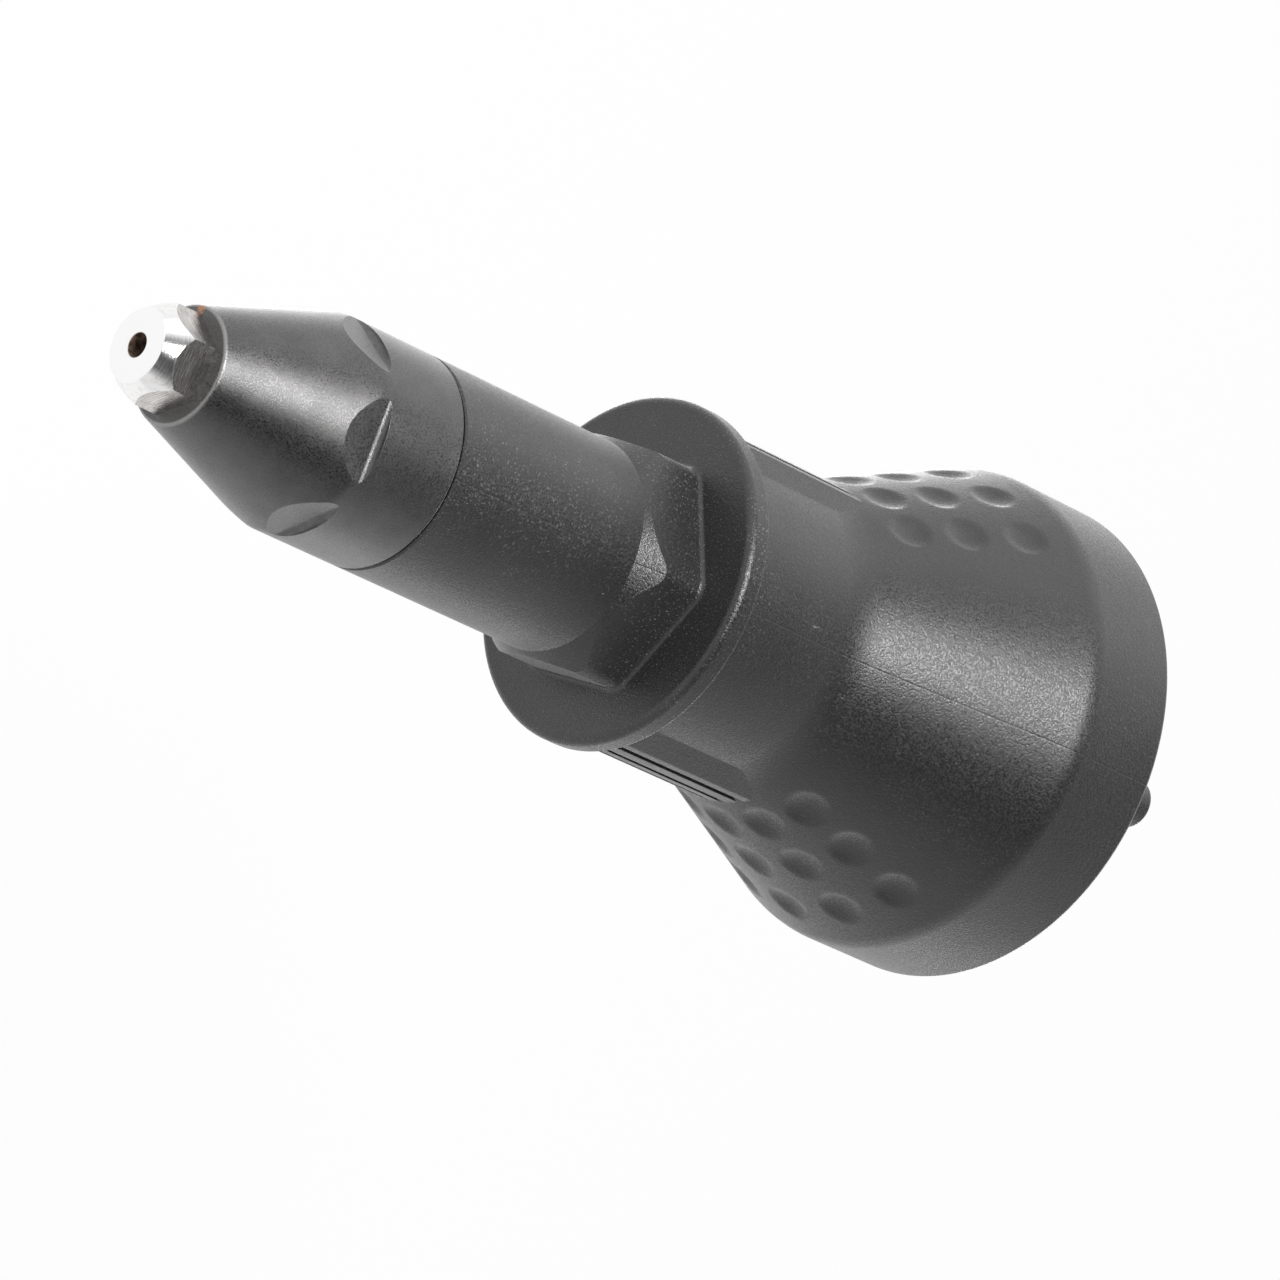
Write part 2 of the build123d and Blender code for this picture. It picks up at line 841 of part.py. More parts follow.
with BuildPart() as planet_pins:
    with BuildSketch(section_plane(carrier_front)):
        with PolarLocations(pin_circle, planet_count, start_angle=first_planet_angle):
            Circle(pin_radius)
    extrude(amount=carrier_plate_back - carrier_front)
planet_pins.part.label = "planet_pins"
export_step(planet_pins.part, "parts/planet_pins.step")

# Planet gears: three equal spur gears, each with a tooth turned to the ring
for number in range(planet_count):
    direction = first_planet_angle + number * 360 / planet_count
    with BuildPart() as planet:
        with BuildSketch(section_plane(planet_front, *around(pin_circle, direction))):
            add(
                toothed_outline(
                    planet_teeth,
                    tooth_width - backlash,
                    planet_radius - 1.25 * gear_module,
                    planet_radius + gear_module,
                    direction,
                )
            )
            Circle(pin_radius + slip, mode=Mode.SUBTRACT)
        extrude(amount=gear_width)
    planet.part.label = f"planet_gear_{number + 1}"
    export_step(planet.part, f"parts/{planet.part.label}.step")

# Ring gear: internal teeth, and lugs that stop it turning in the bell
ring_lugs_start = 90 - cover_clocking + 45
with BuildPart() as ring_gear:
    with BuildSketch(section_plane(ring_front)):
        Circle(ring_radius)
        with PolarLocations(ring_radius, ring_lug_count, start_angle=ring_lugs_start):
            Rectangle(2 * ring_lug_height, ring_lug_width)
        add(
            toothed_outline(
                ring_teeth,
                tooth_width + backlash,
                ring_tip_radius,
                ring_root_radius,
                first_planet_angle,
            ),
            mode=Mode.SUBTRACT,
        )
    extrude(amount=ring_back - ring_front)
ring_gear.part.label = "ring_gear"
export_step(ring_gear.part, "parts/ring_gear.step")

# Drive shank: pilot, sun gear, bearing journal and a hexagon for the drill's chuck
hub_radius = sun_radius - 1.25 * gear_module
with BuildPart() as drive_shank:
    revolve(
        turned(
            (planet_front - pilot_length + free_gap, 0),
            (planet_front - pilot_length + free_gap, pilot_radius - 0.5),
            (planet_front - pilot_length + free_gap + 0.5, pilot_radius),
            (planet_front, pilot_radius),
            (planet_front, hub_radius),
            (bearing_front, hub_radius),
            (bearing_front, bearing_bore_radius),
            (circlip_front, bearing_bore_radius),
            (circlip_front, bearing_bore_radius - circlip_groove),
            (circlip_back, bearing_bore_radius - circlip_groove),
            (circlip_back, bearing_bore_radius),
            (shank_shoulder, bearing_bore_radius),
            (shank_shoulder, 0),
        ),
        axis=Axis.X,
    )
    with BuildSketch(section_plane(planet_front)):
        add(
            toothed_outline(
                sun_teeth,
                tooth_width - backlash,
                hub_radius,
                sun_radius + gear_module,
                first_planet_angle,
            )
        )
    extrude(amount=gear_width)
    with BuildSketch(section_plane(shank_shoulder - 1)):
        RegularPolygon(shank_across / 2, 6, major_radius=False, rotation=30)
    extrude(amount=shank_free_length + 1)
    shank_corner = shank_across / sqrt(3)
    revolve(
        turned(
            (shank_back, shank_corner - shank_end_chamfer),
            (shank_back, shank_corner + 1),
            (shank_back - 1.2 * (1 + shank_end_chamfer), shank_corner + 1),
        ),
        axis=Axis.X,
        mode=Mode.SUBTRACT,
    )
drive_shank.part.label = "drive_shank"
export_step(drive_shank.part, "parts/drive_shank.step")

# Ball bearing of the shank: two grooved races, a cage and its balls
bearing_middle = (bearing_front + bearing_back) / 2
race_groove_radius = bearing_ball_radius + slip
with BuildPart() as bearing_groove:
    with BuildSketch(Plane.XZ):
        with Locations((bearing_middle, bearing_pitch_radius)):
            Circle(race_groove_radius)
    revolve(axis=Axis.X)

with BuildPart() as bearing_inner_race:
    revolve(
        ring_section(
            bearing_front + seat,
            bearing_back,
            bearing_bore_radius + seat,
            bearing_bore_radius + race_wall,
        ),
        axis=Axis.X,
    )
    add(bearing_groove.part, mode=Mode.SUBTRACT)
bearing_inner_race.part.label = "bearing_inner_race"
export_step(bearing_inner_race.part, "parts/bearing_inner_race.step")

with BuildPart() as bearing_outer_race:
    revolve(
        ring_section(bearing_front, bearing_back, bearing_radius - race_wall, bearing_radius),
        axis=Axis.X,
    )
    add(bearing_groove.part, mode=Mode.SUBTRACT)
bearing_outer_race.part.label = "bearing_outer_race"
export_step(bearing_outer_race.part, "parts/bearing_outer_race.step")

with BuildPart() as bearing_balls:
    with Locations(section_plane(bearing_middle)):
        with PolarLocations(bearing_pitch_radius, bearing_ball_count):
            Sphere(bearing_ball_radius)
bearing_balls.part.label = "bearing_balls"
export_step(bearing_balls.part, "parts/bearing_balls.step")

with BuildPart() as bearing_cage:
    revolve(
        ring_section(
            bearing_middle - bearing_cage_width / 2,
            bearing_middle + bearing_cage_width / 2,
            bearing_pitch_radius - bearing_cage_thickness / 2,
            bearing_pitch_radius + bearing_cage_thickness / 2,
        ),
        axis=Axis.X,
    )
    with Locations(section_plane(bearing_middle)):
        with PolarLocations(bearing_pitch_radius, bearing_ball_count):
            Cylinder(
                race_groove_radius,
                3 * bearing_cage_thickness,
                rotation=(0, 90, 0),
                mode=Mode.SUBTRACT,
            )
bearing_cage.part.label = "bearing_cage"
export_step(bearing_cage.part, "parts/bearing_cage.step")

# Circlip and seal: a snap ring behind the bearing, and a lip seal round the shank
with BuildPart() as shank_circlip:
    with BuildSketch(section_plane(circlip_front + seat)):
        Circle(circlip_radius)
        Circle(bearing_bore_radius - circlip_groove + seat, mode=Mode.SUBTRACT)
        with Locations((0, circlip_radius)):
            Rectangle(circlip_opening, circlip_radius, mode=Mode.SUBTRACT)
    extrude(amount=circlip_thickness - 2 * seat)
shank_circlip.part.label = "shank_circlip"
export_step(shank_circlip.part, "parts/shank_circlip.step")

with BuildPart() as shaft_seal:
    revolve(
        turned(
            (seal_front, seal_radius),
            (seal_back, seal_radius),
            (seal_back, bearing_bore_radius + slip),
            (seal_back - 0.6, bearing_bore_radius + slip),
            (seal_back - 1.2, bearing_bore_radius + 1.6),
            (seal_front, bearing_bore_radius + 1.6),
        ),
        axis=Axis.X,
    )
shaft_seal.part.label = "shaft_seal"
export_step(shaft_seal.part, "parts/shaft_seal.step")

# Rear cover: hub, ribs, a spigot behind the ring gear and four screw lugs
cover_hub_radius = bearing_radius + cover_hub_wall
spigot_radius = ring_radius
screws_start = 90 - cover_clocking
with BuildPart() as rear_cover:
    revolve(
        turned(
            (bearing_front, bearing_radius + seat),
            (bearing_front, cover_hub_radius),
            (rim_station + seat, cover_hub_radius),
            (rim_station + seat, spigot_radius - cover_spigot_wall),
            (cover_spigot_front, spigot_radius - cover_spigot_wall),
            (cover_spigot_front, spigot_radius),
            (rim_station + seat, spigot_radius),
            (rim_station + seat, cover_radius),
            (cover_back, cover_radius),
            (cover_back, cover_boss_radius),
            (seal_back + seat, cover_boss_radius),
            (seal_back + seat, seal_radius + seat),
            (bearing_back + seat, seal_radius + seat),
            (bearing_back + seat, bearing_radius + seat),
        ),
        axis=Axis.X,
    )
    rib_middle = (cover_hub_radius + spigot_radius - cover_spigot_wall) / 2
    rib_length = spigot_radius - cover_spigot_wall - cover_hub_radius + 0.8
    with BuildSketch(section_plane(bearing_front)):
        with PolarLocations(rib_middle, cover_rib_count):
            Rectangle(rib_length, cover_rib_width)
    extrude(amount=rim_station - bearing_front + 1)
    with BuildSketch(section_plane(rim_station + seat)):
        with PolarLocations(lug_circle, lug_count, start_angle=screws_start):
            Circle(lug_radius)
    extrude(amount=cover_thickness - seat)
    with Locations(section_plane(cover_back)):
        with PolarLocations(cover_screw_circle, lug_count, start_angle=screws_start):
            CounterSinkHole(
                cover_screw_radius + slip,
                cover_screw_head + slip,
                depth=cover_thickness + 1,
                counter_sink_angle=90,
            )
rear_cover.part.label = "rear_cover"
export_step(rear_cover.part, "parts/rear_cover.step")

# Cover screws: four countersunk screws into the bell's wall
head_height = cover_screw_head - cover_screw_radius
with BuildPart() as cover_screw:
    with BuildSketch(Plane.XZ):
        with BuildLine():
            Polyline(
                (0, 0),
                (cover_screw_head, 0),
                (cover_screw_radius, -head_height),
                (cover_screw_radius, -cover_screw_length),
                (0, -cover_screw_length),
                close=True,
            )
        make_face()
    revolve(axis=Axis.Z)

with BuildPart() as cover_screws:
    with Locations(section_plane(cover_back)):
        with PolarLocations(cover_screw_circle, lug_count, start_angle=screws_start):
            add(cover_screw.part)
cover_screws.part.label = "cover_screws"
export_step(cover_screws.part, "parts/cover_screws.step")

# Housing, outer form: barrel, hexagonal collar, flange, neck, pads and bell
collar_end = flange_front + flange_thickness / 2
collar_rise = (collar_end - collar_start) * tan(radians(collar_chamfer))
with BuildPart() as collar:
    with BuildSketch(section_plane(collar_start)):
        hexagon = RegularPolygon(collar_across / 2, 6, major_radius=False, rotation=30)
        fillet(hexagon.vertices(), collar_corner)
    extrude(amount=collar_end - collar_start)
    revolve(
        turned(
            (collar_start, 0),
            (collar_start, grip_radius),
            (collar_end, grip_radius + collar_rise),
            (collar_end, 0),
        ),
        axis=Axis.X,
        mode=Mode.INTERSECT,
    )

pad_back = flare_foot + (pad_radius - neck_radius) / flare_slope
pad_top = sqrt(pad_radius**2 - pad_top_half**2)
pad_slant = (pad_foot_half - pad_top_half) / (pad_top - pad_foot_height)
pad_reach = 2.0
with BuildPart() as pads:
    with BuildSketch(section_plane(flange_back - 1)):
        for side in (1, -1):
            Polygon(
                (side * (pad_foot_height - pad_reach), pad_foot_half + pad_reach * pad_slant),
                (side * (pad_top + pad_reach), pad_top_half - pad_reach * pad_slant),
                (side * (pad_top + pad_reach), -pad_top_half + pad_reach * pad_slant),
                (side * (pad_foot_height - pad_reach), -pad_foot_half - pad_reach * pad_slant),
                align=None,
            )
        Circle(pad_radius, mode=Mode.INTERSECT)
    extrude(amount=pad_back + 1 - flange_back + 1)

with BuildPart() as grooves:
    with BuildSketch(section_plane(flange_back + seat)):
        with GridLocations(0, groove_pitch, 1, groove_count):
            Rectangle(3 * pad_radius, groove_width)
        Circle(pad_radius - groove_depth, mode=Mode.SUBTRACT)
    extrude(amount=pad_back - flange_back)

flare_angle = atan(flare_slope)
dimple_ball = (dimple_radius**2 + dimple_depth**2) / (2 * dimple_depth)
dimple_lift = dimple_ball - dimple_depth
with BuildPart() as dimples:
    for row in range(dimple_rows):
        station = dimple_first_row + row * dimple_row_pitch
        surface = neck_radius + flare_slope * (station - flare_foot)
        with Locations(section_plane(station - dimple_lift * sin(flare_angle))):
            for side in (0, 180):
                with PolarLocations(
                    surface + dimple_lift * cos(flare_angle),
                    dimple_columns,
                    start_angle=side - dimple_column_angle * (dimple_columns - 1) / 2,
                    angular_range=dimple_column_angle * dimple_columns,
                ):
                    Sphere(dimple_ball)

# Housing: the outer form with its bore, ribs, bosses, lug slots and screw holes
tube_passage = tube_radius + slip
tube_flange_front = tube_back - tube_flange_length
with BuildPart() as housing:
    with BuildSketch(Plane.XZ):
        with BuildLine():
            outside = FilletPolyline(
                (housing_front, grip_radius - housing_edge),
                (housing_front + housing_edge, grip_radius),
                (flange_front, grip_radius),
                (flange_front, flange_radius),
                (flange_back, flange_radius),
                (flange_back, neck_radius),
                (flare_foot, neck_radius),
                (flare_top, rim_radius),
                (rim_station, rim_radius),
                (rim_station, bell_bore_radius),
                radius=(0, 0, flange_edge, flange_edge, 0, flare_foot_round, shoulder_round, rim_edge),
            )
            Polyline(
                outside @ 1,
                (rim_station, 0),
                (housing_front, 0),
                outside @ 0,
            )
        make_face()
    revolve(axis=Axis.X)
    add(collar.part)
    flange_face_edges = housing.edges().filter_by_position(
        Axis.X, flange_front - seat, flange_front + seat
    )
    fillet(flange_face_edges.sort_by(SortBy.LENGTH)[:-1], collar_foot_fillet)
    add(pads.part)
    add(grooves.part, mode=Mode.SUBTRACT)
    add(dimples.part, mode=Mode.SUBTRACT)
    revolve(
        turned(
            (housing_front - 1, 0),
            (housing_front - 1, tube_passage),
            (rib_front, tube_passage),
            (rib_front, neck_bore_radius),
            (neck_bore_back, neck_bore_radius),
            (plate_front, plate_seat_radius),
            (plate_front, plate_radius + slip),
            (plate_back, plate_radius + slip),
            (plate_back, carrier_room_radius),
            (ring_front, carrier_room_radius),
            (ring_front, bell_bore_radius),
            (rim_station + 1, bell_bore_radius),
            (rim_station + 1, 0),
        ),
        axis=Axis.X,
        mode=Mode.SUBTRACT,
    )
    with BuildSketch(section_plane(rib_front - 1)):
        with PolarLocations((tube_passage + neck_bore_radius + 0.5) / 2, rib_count):
            Rectangle(neck_bore_radius + 0.5 - tube_passage, rib_width)
    extrude(amount=tube_flange_front - seat - rib_front + 1)
    with BuildSketch(section_plane(plate_front - plate_boss_length)):
        with PolarLocations(plate_screw_circle, plate_screw_count, start_angle=30):
            Circle(plate_boss_radius)
    extrude(amount=plate_boss_length - seat)
    with Locations(section_plane(plate_front)):
        with PolarLocations(plate_screw_circle, plate_screw_count, start_angle=30):
            Hole(plate_screw_radius + slip, depth=plate_screw_grip + 2 * seat)
    with Locations(section_plane(rim_station)):
        with PolarLocations(cover_screw_circle, lug_count, start_angle=screws_start):
            Hole(cover_screw_radius + slip, depth=cover_screw_length - cover_thickness + 0.5)
    with BuildSketch(section_plane(ring_front)):
        with PolarLocations(ring_radius, ring_lug_count, start_angle=ring_lugs_start):
            Rectangle(2 * (ring_lug_height + slip), ring_lug_width + 2 * slip)
    extrude(amount=rim_station - ring_front + 1, mode=Mode.SUBTRACT)
housing.part.label = "housing"
export_step(housing.part, "parts/housing.step")
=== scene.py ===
from math import cos, pi, radians, sin, tan

import bpy
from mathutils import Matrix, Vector


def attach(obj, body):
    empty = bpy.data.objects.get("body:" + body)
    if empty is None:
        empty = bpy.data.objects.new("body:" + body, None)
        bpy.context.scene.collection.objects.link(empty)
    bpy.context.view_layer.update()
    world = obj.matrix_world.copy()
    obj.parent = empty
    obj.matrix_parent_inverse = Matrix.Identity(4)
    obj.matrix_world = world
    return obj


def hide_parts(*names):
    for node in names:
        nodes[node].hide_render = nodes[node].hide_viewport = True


# Rivet drill adapter. The tool's axis is X: the nosepiece's face is at x = 0, the drive
# shank points along +X, and +Z is up. Stations and radii are in millimetres, and each
# piece is scaled to metres as it is drawn.

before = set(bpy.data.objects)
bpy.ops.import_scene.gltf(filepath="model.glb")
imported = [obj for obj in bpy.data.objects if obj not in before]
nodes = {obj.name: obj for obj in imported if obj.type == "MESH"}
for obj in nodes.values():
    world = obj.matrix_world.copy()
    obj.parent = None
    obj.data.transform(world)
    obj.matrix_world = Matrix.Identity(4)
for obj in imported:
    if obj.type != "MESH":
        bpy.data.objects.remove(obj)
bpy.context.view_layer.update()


# Nosepiece: a chromed steel bush with a spanner hexagon, bored for the rivet's mandrel.
# It is turned and milled, and screws into the sleeve; its tail holds the jaws open.
MM = 0.001
nose_bore = 1.68
nose_face = 5.0
nose_slope = tan(radians(30.6))
nose_cone_length = 3.6
nose_hex_across = 12.2
nose_hex_turn = 4.4
nose_head = 7.65
nose_thread = 4.7
nose_thread_end = 15.25
nose_tail_radius = 3.3
nose_tail_cone = 17.45
nose_tail = 19.65


def rounded(corners, steps=6):
    """Turns each (station, radius, rounding) corner of a closed line into an arc."""
    line = []
    count = len(corners)
    for index, corner in enumerate(corners):
        here = Vector(corner[:2])
        if len(corner) == 2:
            line.append(tuple(here))
            continue
        back = (Vector(corners[index - 1][:2]) - here).normalized()
        ahead = (Vector(corners[(index + 1) % count][:2]) - here).normalized()
        half = back.angle(ahead) / 2
        centre = here + (back + ahead).normalized() * corner[2] / sin(half)
        start = here + back * corner[2] / tan(half) - centre
        sweep = pi - 2 * half
        if back.x * ahead.y - back.y * ahead.x > 0:
            sweep = -sweep
        for step in range(steps + 1):
            turn = sweep * step / steps
            line.append(
                (
                    centre.x + start.x * cos(turn) - start.y * sin(turn),
                    centre.y + start.x * sin(turn) + start.y * cos(turn),
                )
            )
    return line


def turned(name, corners, around=192):
    """Draws a closed half section of (station, radius) corners and spins it round X."""
    bpy.ops.object.select_all(action="DESELECT")
    bpy.ops.mesh.primitive_plane_add(size=MM)
    bpy.ops.object.mode_set(mode="EDIT")
    bpy.ops.mesh.select_mode(type="VERT")
    bpy.ops.mesh.select_all(action="SELECT")
    bpy.ops.mesh.merge(type="CENTER")
    here = (0, 0)
    for corner in corners + corners[:1]:
        step = ((corner[0] - here[0]) * MM, 0, (corner[1] - here[1]) * MM)
        if corner is corners[0] and here == (0, 0):
            bpy.ops.transform.translate(value=step)
        else:
            bpy.ops.mesh.extrude_region_move(TRANSFORM_OT_translate={"value": step})
        here = corner
    bpy.ops.mesh.select_all(action="SELECT")
    bpy.ops.mesh.spin(steps=around, angle=2 * pi, center=(0, 0, 0), axis=(1, 0, 0))
    bpy.ops.mesh.select_all(action="SELECT")
    bpy.ops.mesh.remove_doubles(threshold=0.001 * MM)
    bpy.ops.mesh.normals_make_consistent(inside=False)
    bpy.ops.object.mode_set(mode="OBJECT")
    piece = bpy.context.object
    piece.name = name
    return piece


def prism(name, sides, across, front, back, first_corner=0):
    """A bar of that many flats along X, across its flats, between two stations."""
    bpy.ops.object.select_all(action="DESELECT")
    bpy.ops.mesh.primitive_cylinder_add(
        vertices=sides,
        radius=across / 2 / cos(pi / sides) * MM,
        depth=(back - front) * MM,
        location=((front + back) / 2 * MM, 0, 0),
        rotation=(0, pi / 2, 0),
    )
    bpy.ops.object.transform_apply(location=True, rotation=True)
    piece = bpy.context.object
    piece.rotation_euler = (radians(first_corner), 0, 0)
    bpy.ops.object.transform_apply(rotation=True)
    piece.name = name
    return piece


def combine(piece, tool, operation):
    """Joins two pieces, cuts one by the other or keeps what they share."""
    modifier = piece.modifiers.new("combine", "BOOLEAN")
    modifier.operation = operation
    modifier.object = tool
    modifier.solver = "EXACT"
    bpy.context.view_layer.objects.active = piece
    bpy.ops.object.modifier_apply(modifier=modifier.name)
    bpy.data.objects.remove(tool)


def soften(piece, width, steps=2, angle=30, edge_material=-1):
    """Breaks the sharp edges of a piece, and shades what is left smooth by angle."""
    if width:
        bevel = piece.modifiers.new("soften", "BEVEL")
        bevel.width = width * MM
        bevel.segments = steps
        bevel.limit_method = "ANGLE"
        bevel.angle_limit = radians(angle)
        bevel.material = edge_material
        bpy.context.view_layer.objects.active = piece
        bpy.ops.object.modifier_apply(modifier=bevel.name)
    bpy.ops.object.select_all(action="DESELECT")
    piece.select_set(True)
    bpy.context.view_layer.objects.active = piece
    bpy.ops.object.shade_smooth_by_angle(angle=radians(angle))
    flatten = piece.modifiers.new("flatten", "WEIGHTED_NORMAL")
    flatten.keep_sharp = True
    bpy.ops.object.modifier_apply(modifier=flatten.name)


def new_finish(name, **sockets):
    """Starts a material and sets the numbers and colours of its shader."""
    material = bpy.data.materials.new(name)
    material.use_nodes = True
    shader = material.node_tree.nodes["Principled BSDF"]
    for socket, value in sockets.items():
        shader.inputs[socket.replace("_", " ")].default_value = value
    return material


def node(material, kind, settings=None, **sockets):
    """Adds a node. A socket is named or numbered, and takes a value or an output."""
    made = material.node_tree.nodes.new("ShaderNode" + kind)
    for name, value in (settings or {}).items():
        setattr(made, name, value)
    for name, value in sockets.items():
        number = name.lstrip("_")
        socket = made.inputs[int(number) if number.isdigit() else name.replace("_", " ")]
        if isinstance(value, bpy.types.NodeSocket):
            material.node_tree.links.new(value, socket)
        else:
            socket.default_value = value
    return made


def sums(material, operation, *values):
    """A sum on up to three numbers or outputs."""
    sockets = {f"_{number}": value for number, value in enumerate(values)}
    return node(material, "Math", {"operation": operation}, **sockets).outputs["Value"]


def blend(material, share, under, over):
    """Mixes two colours by the share of the upper one."""
    return node(
        material,
        "Mix",
        {"data_type": "RGBA"},
        _0=share,
        _6=under,
        _7=over,
    ).outputs[2]


def feed(material, socket, output):
    """Links an output to one of the shader's sockets."""
    shader = material.node_tree.nodes["Principled BSDF"]
    material.node_tree.links.new(output, shader.inputs[socket])


def ramp(material, factor, *stops):
    """A colour ramp on a factor, from (position, grey or colour) stops."""
    made = node(material, "ValToRGB", Fac=factor)
    elements = made.color_ramp.elements
    while len(elements) < len(stops):
        elements.new(0.5)
    for element, (position, colour) in zip(elements, stops):
        element.position = position
        grey = (colour, colour, colour) if isinstance(colour, (int, float)) else colour
        element.color = (*grey, 1)
    return made.outputs["Color"]


def fade(material, distance, near, far):
    """1 within the near distance and 0 past the far one, both in millimetres."""
    return node(
        material,
        "MapRange",
        Value=distance,
        From_Min=near * MM,
        From_Max=far * MM,
        To_Min=1.0,
        To_Max=0.0,
    ).outputs["Result"]


def place(material):
    """The point on the piece, in metres."""
    return node(material, "TexCoord").outputs["Object"]


def noise(material, size, detail=2.0, at=None, **sockets):
    """Noise whose features are about that many millimetres across."""
    return node(
        material,
        "TexNoise",
        Vector=at or place(material),
        Scale=1 / (size * MM),
        Detail=detail,
        **sockets,
    ).outputs["Fac"]


def off_axis(material):
    """The distance from the tool's axis, as a point that varies along X alone."""
    apart = node(material, "SeparateXYZ", Vector=place(material))
    flat = node(material, "CombineXYZ", Y=apart.outputs["Y"], Z=apart.outputs["Z"])
    length = node(material, "VectorMath", {"operation": "LENGTH"}, _0=flat.outputs["Vector"])
    return node(
        material,
        "CombineXYZ",
        X=length.outputs["Value"],
        Y=apart.outputs["X"],
    ).outputs["Vector"]


def bump(material, height, depth, strength=1.0, below=None, invert=False):
    """A bump of that depth in millimetres from a height of 0 to 1, on one below it."""
    made = node(
        material,
        "Bump",
        {"invert": invert},
        Strength=strength,
        Distance=depth * MM,
        Height=height,
    )
    if below:
        material.node_tree.links.new(below, made.inputs["Normal"])
    return made.outputs["Normal"]


def dress(piece, body, slot, *finishes, replaces=()):
    """Gives a new piece its materials and body, and hides the nodes that it replaces. The slot is
    not used.
    """
    if finishes:
        piece.data.materials.clear()
        for finish in finishes:
            piece.data.materials.append(finish)
    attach(piece, body)
    if replaces:
        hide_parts(*replaces)


chrome = new_finish("chromed_steel", Metallic=1.0)
from_axis = off_axis(chrome)
turning = noise(chrome, 0.3, detail=4, at=from_axis, Roughness=0.7)
tone = noise(chrome, 0.7, detail=5)
spot = node(chrome, "SeparateXYZ", Vector=from_axis)
in_bore = fade(chrome, spot.outputs["X"], nose_bore, nose_bore + 0.1)
on_face = fade(chrome, spot.outputs["Y"], 0.15, 0.3)
clean = sums(chrome, "MAXIMUM", tone, on_face)
turned_colour = ramp(
    chrome,
    clean,
    (0.36, (0.86, 0.84, 0.82)),
    (0.5, (0.92, 0.92, 0.92)),
    (1.0, (0.95, 0.95, 0.95)),
)
# The milled spanner flats get a darker, browner chrome colour than the turned face and cone. This
# is a painted dark reflection, mottled by the turning noise.
flats_painted_dark = ramp(chrome, turning, (0.4, (0.42, 0.395, 0.38)), (0.62, (0.7, 0.68, 0.66)))
soil_colour = ramp(chrome, tone, (0.35, (0.12, 0.075, 0.05)), (0.65, (0.4, 0.3, 0.24)))
cone_radius = sums(chrome, "MULTIPLY_ADD", spot.outputs["Y"], nose_slope, nose_face * MM)
under_cone = sums(chrome, "SUBTRACT", cone_radius, spot.outputs["X"])
on_cone = fade(chrome, under_cone, 0.06, 0.16)
is_turned = sums(chrome, "MAXIMUM", on_cone, on_face)
head_colour = blend(chrome, is_turned, flats_painted_dark, turned_colour)
feed(chrome, "Base Color", blend(chrome, in_bore, head_colour, soil_colour))
chrome_haze = ramp(chrome, clean, (0.35, 0.18), (0.58, 0.12))
feed(chrome, "Roughness", sums(chrome, "MAXIMUM", chrome_haze, in_bore))
feed(chrome, "Normal", bump(chrome, turning, 0.045, 0.8))

nose_corner = nose_face + nose_cone_length * nose_slope
nosepiece = turned(
    "chromed_nosepiece",
    rounded(
        [
            (0, nose_bore, 0.15),
            (0, nose_face, 0.1),
            (nose_cone_length, nose_corner),
            (nose_head, nose_corner),
            (nose_head, nose_bore),
        ],
        3,
    ),
)
hexagon = prism("nose_hexagon", 6, nose_hex_across, -1, nose_head + 1, nose_hex_turn)
combine(nosepiece, hexagon, "INTERSECT")
nose_thread_part = turned(
    "nose_thread",
    [
        (nose_head - 0.5, nose_bore),
        (nose_head - 0.5, nose_thread),
        (nose_thread_end - 0.45, nose_thread),
        (nose_thread_end, nose_thread - 0.45),
        (nose_thread_end, nose_tail_radius),
        (nose_tail_cone, nose_tail_radius),
        (nose_tail, nose_bore + 0.42),
        (nose_tail, nose_bore),
    ],
)
combine(nosepiece, nose_thread_part, "UNION")
soften(nosepiece, 0, angle=16)
dress(nosepiece, "tool_body", "chromed_steel", chrome, replaces=["nosepiece"])


# Nose sleeve: a steel cone with a black oxide finish that runs into a short cylinder.
# Six spanner flats are milled where they meet, and its sharp edges are worn bright.
sleeve_front = nose_head
sleeve_back = 44.85
sleeve_shoulder = 29.55
sleeve_face = 8.3
sleeve_bore = 4.75
grip = 15.15
tube_bore = 12.7
tube_socket = 13.6
tube_stop = 35.35
tube_seat = 43.55
jaw_room_front = 14.05
jaw_room_front_radius = 7.6
jaw_room_back_radius = 11.6
flat_height = 14.0
flat_back = 31.55
flat_run_out = 0.9
edge_break = 0.25

oxide = new_finish("black_oxide_steel", Metallic=1.0, Sheen_Weight=1.0, Sheen_Roughness=0.36)
from_axis = off_axis(oxide)
streaks = noise(oxide, 0.35, detail=4, at=from_axis, Roughness=0.7)
clouds = noise(oxide, 4, detail=6)
grain = noise(oxide, 0.22, detail=3, Roughness=0.75)
dark_tone = ramp(
    oxide,
    sums(oxide, "MULTIPLY_ADD", clouds, 0.4, grain),
    (0.5, (0.066, 0.066, 0.068)),
    (0.9, (0.125, 0.123, 0.121)),
)
spot = node(oxide, "SeparateXYZ", Vector=from_axis)
inside = fade(oxide, spot.outputs["X"], sleeve_face - 0.5, sleeve_face - 0.3)
front = fade(oxide, spot.outputs["Y"], sleeve_front + 0.2, sleeve_front + 0.45)
rubbed = sums(oxide, "SUBTRACT", front, inside)
rubbed_colour = (0.26, 0.257, 0.254, 1)
oxide_tone = blend(oxide, rubbed, dark_tone, rubbed_colour)
rust_spot = (sleeve_front * MM, 7.8 * MM, 0.1 * MM)
rust_distance = node(
    oxide,
    "VectorMath",
    {"operation": "DISTANCE"},
    _0=place(oxide),
    _1=rust_spot,
).outputs["Value"]
ragged_distance = sums(oxide, "MULTIPLY_ADD", grain, 2.4 * MM, rust_distance)
rust = fade(oxide, ragged_distance, 1.7, 1.9)
rust_colour = (0.42, 0.2, 0.11, 1)
feed(oxide, "Base Color", blend(oxide, rust, oxide_tone, rust_colour))
feed(oxide, "Roughness", ramp(oxide, grain, (0.42, 0.22), (0.57, 0.46)))
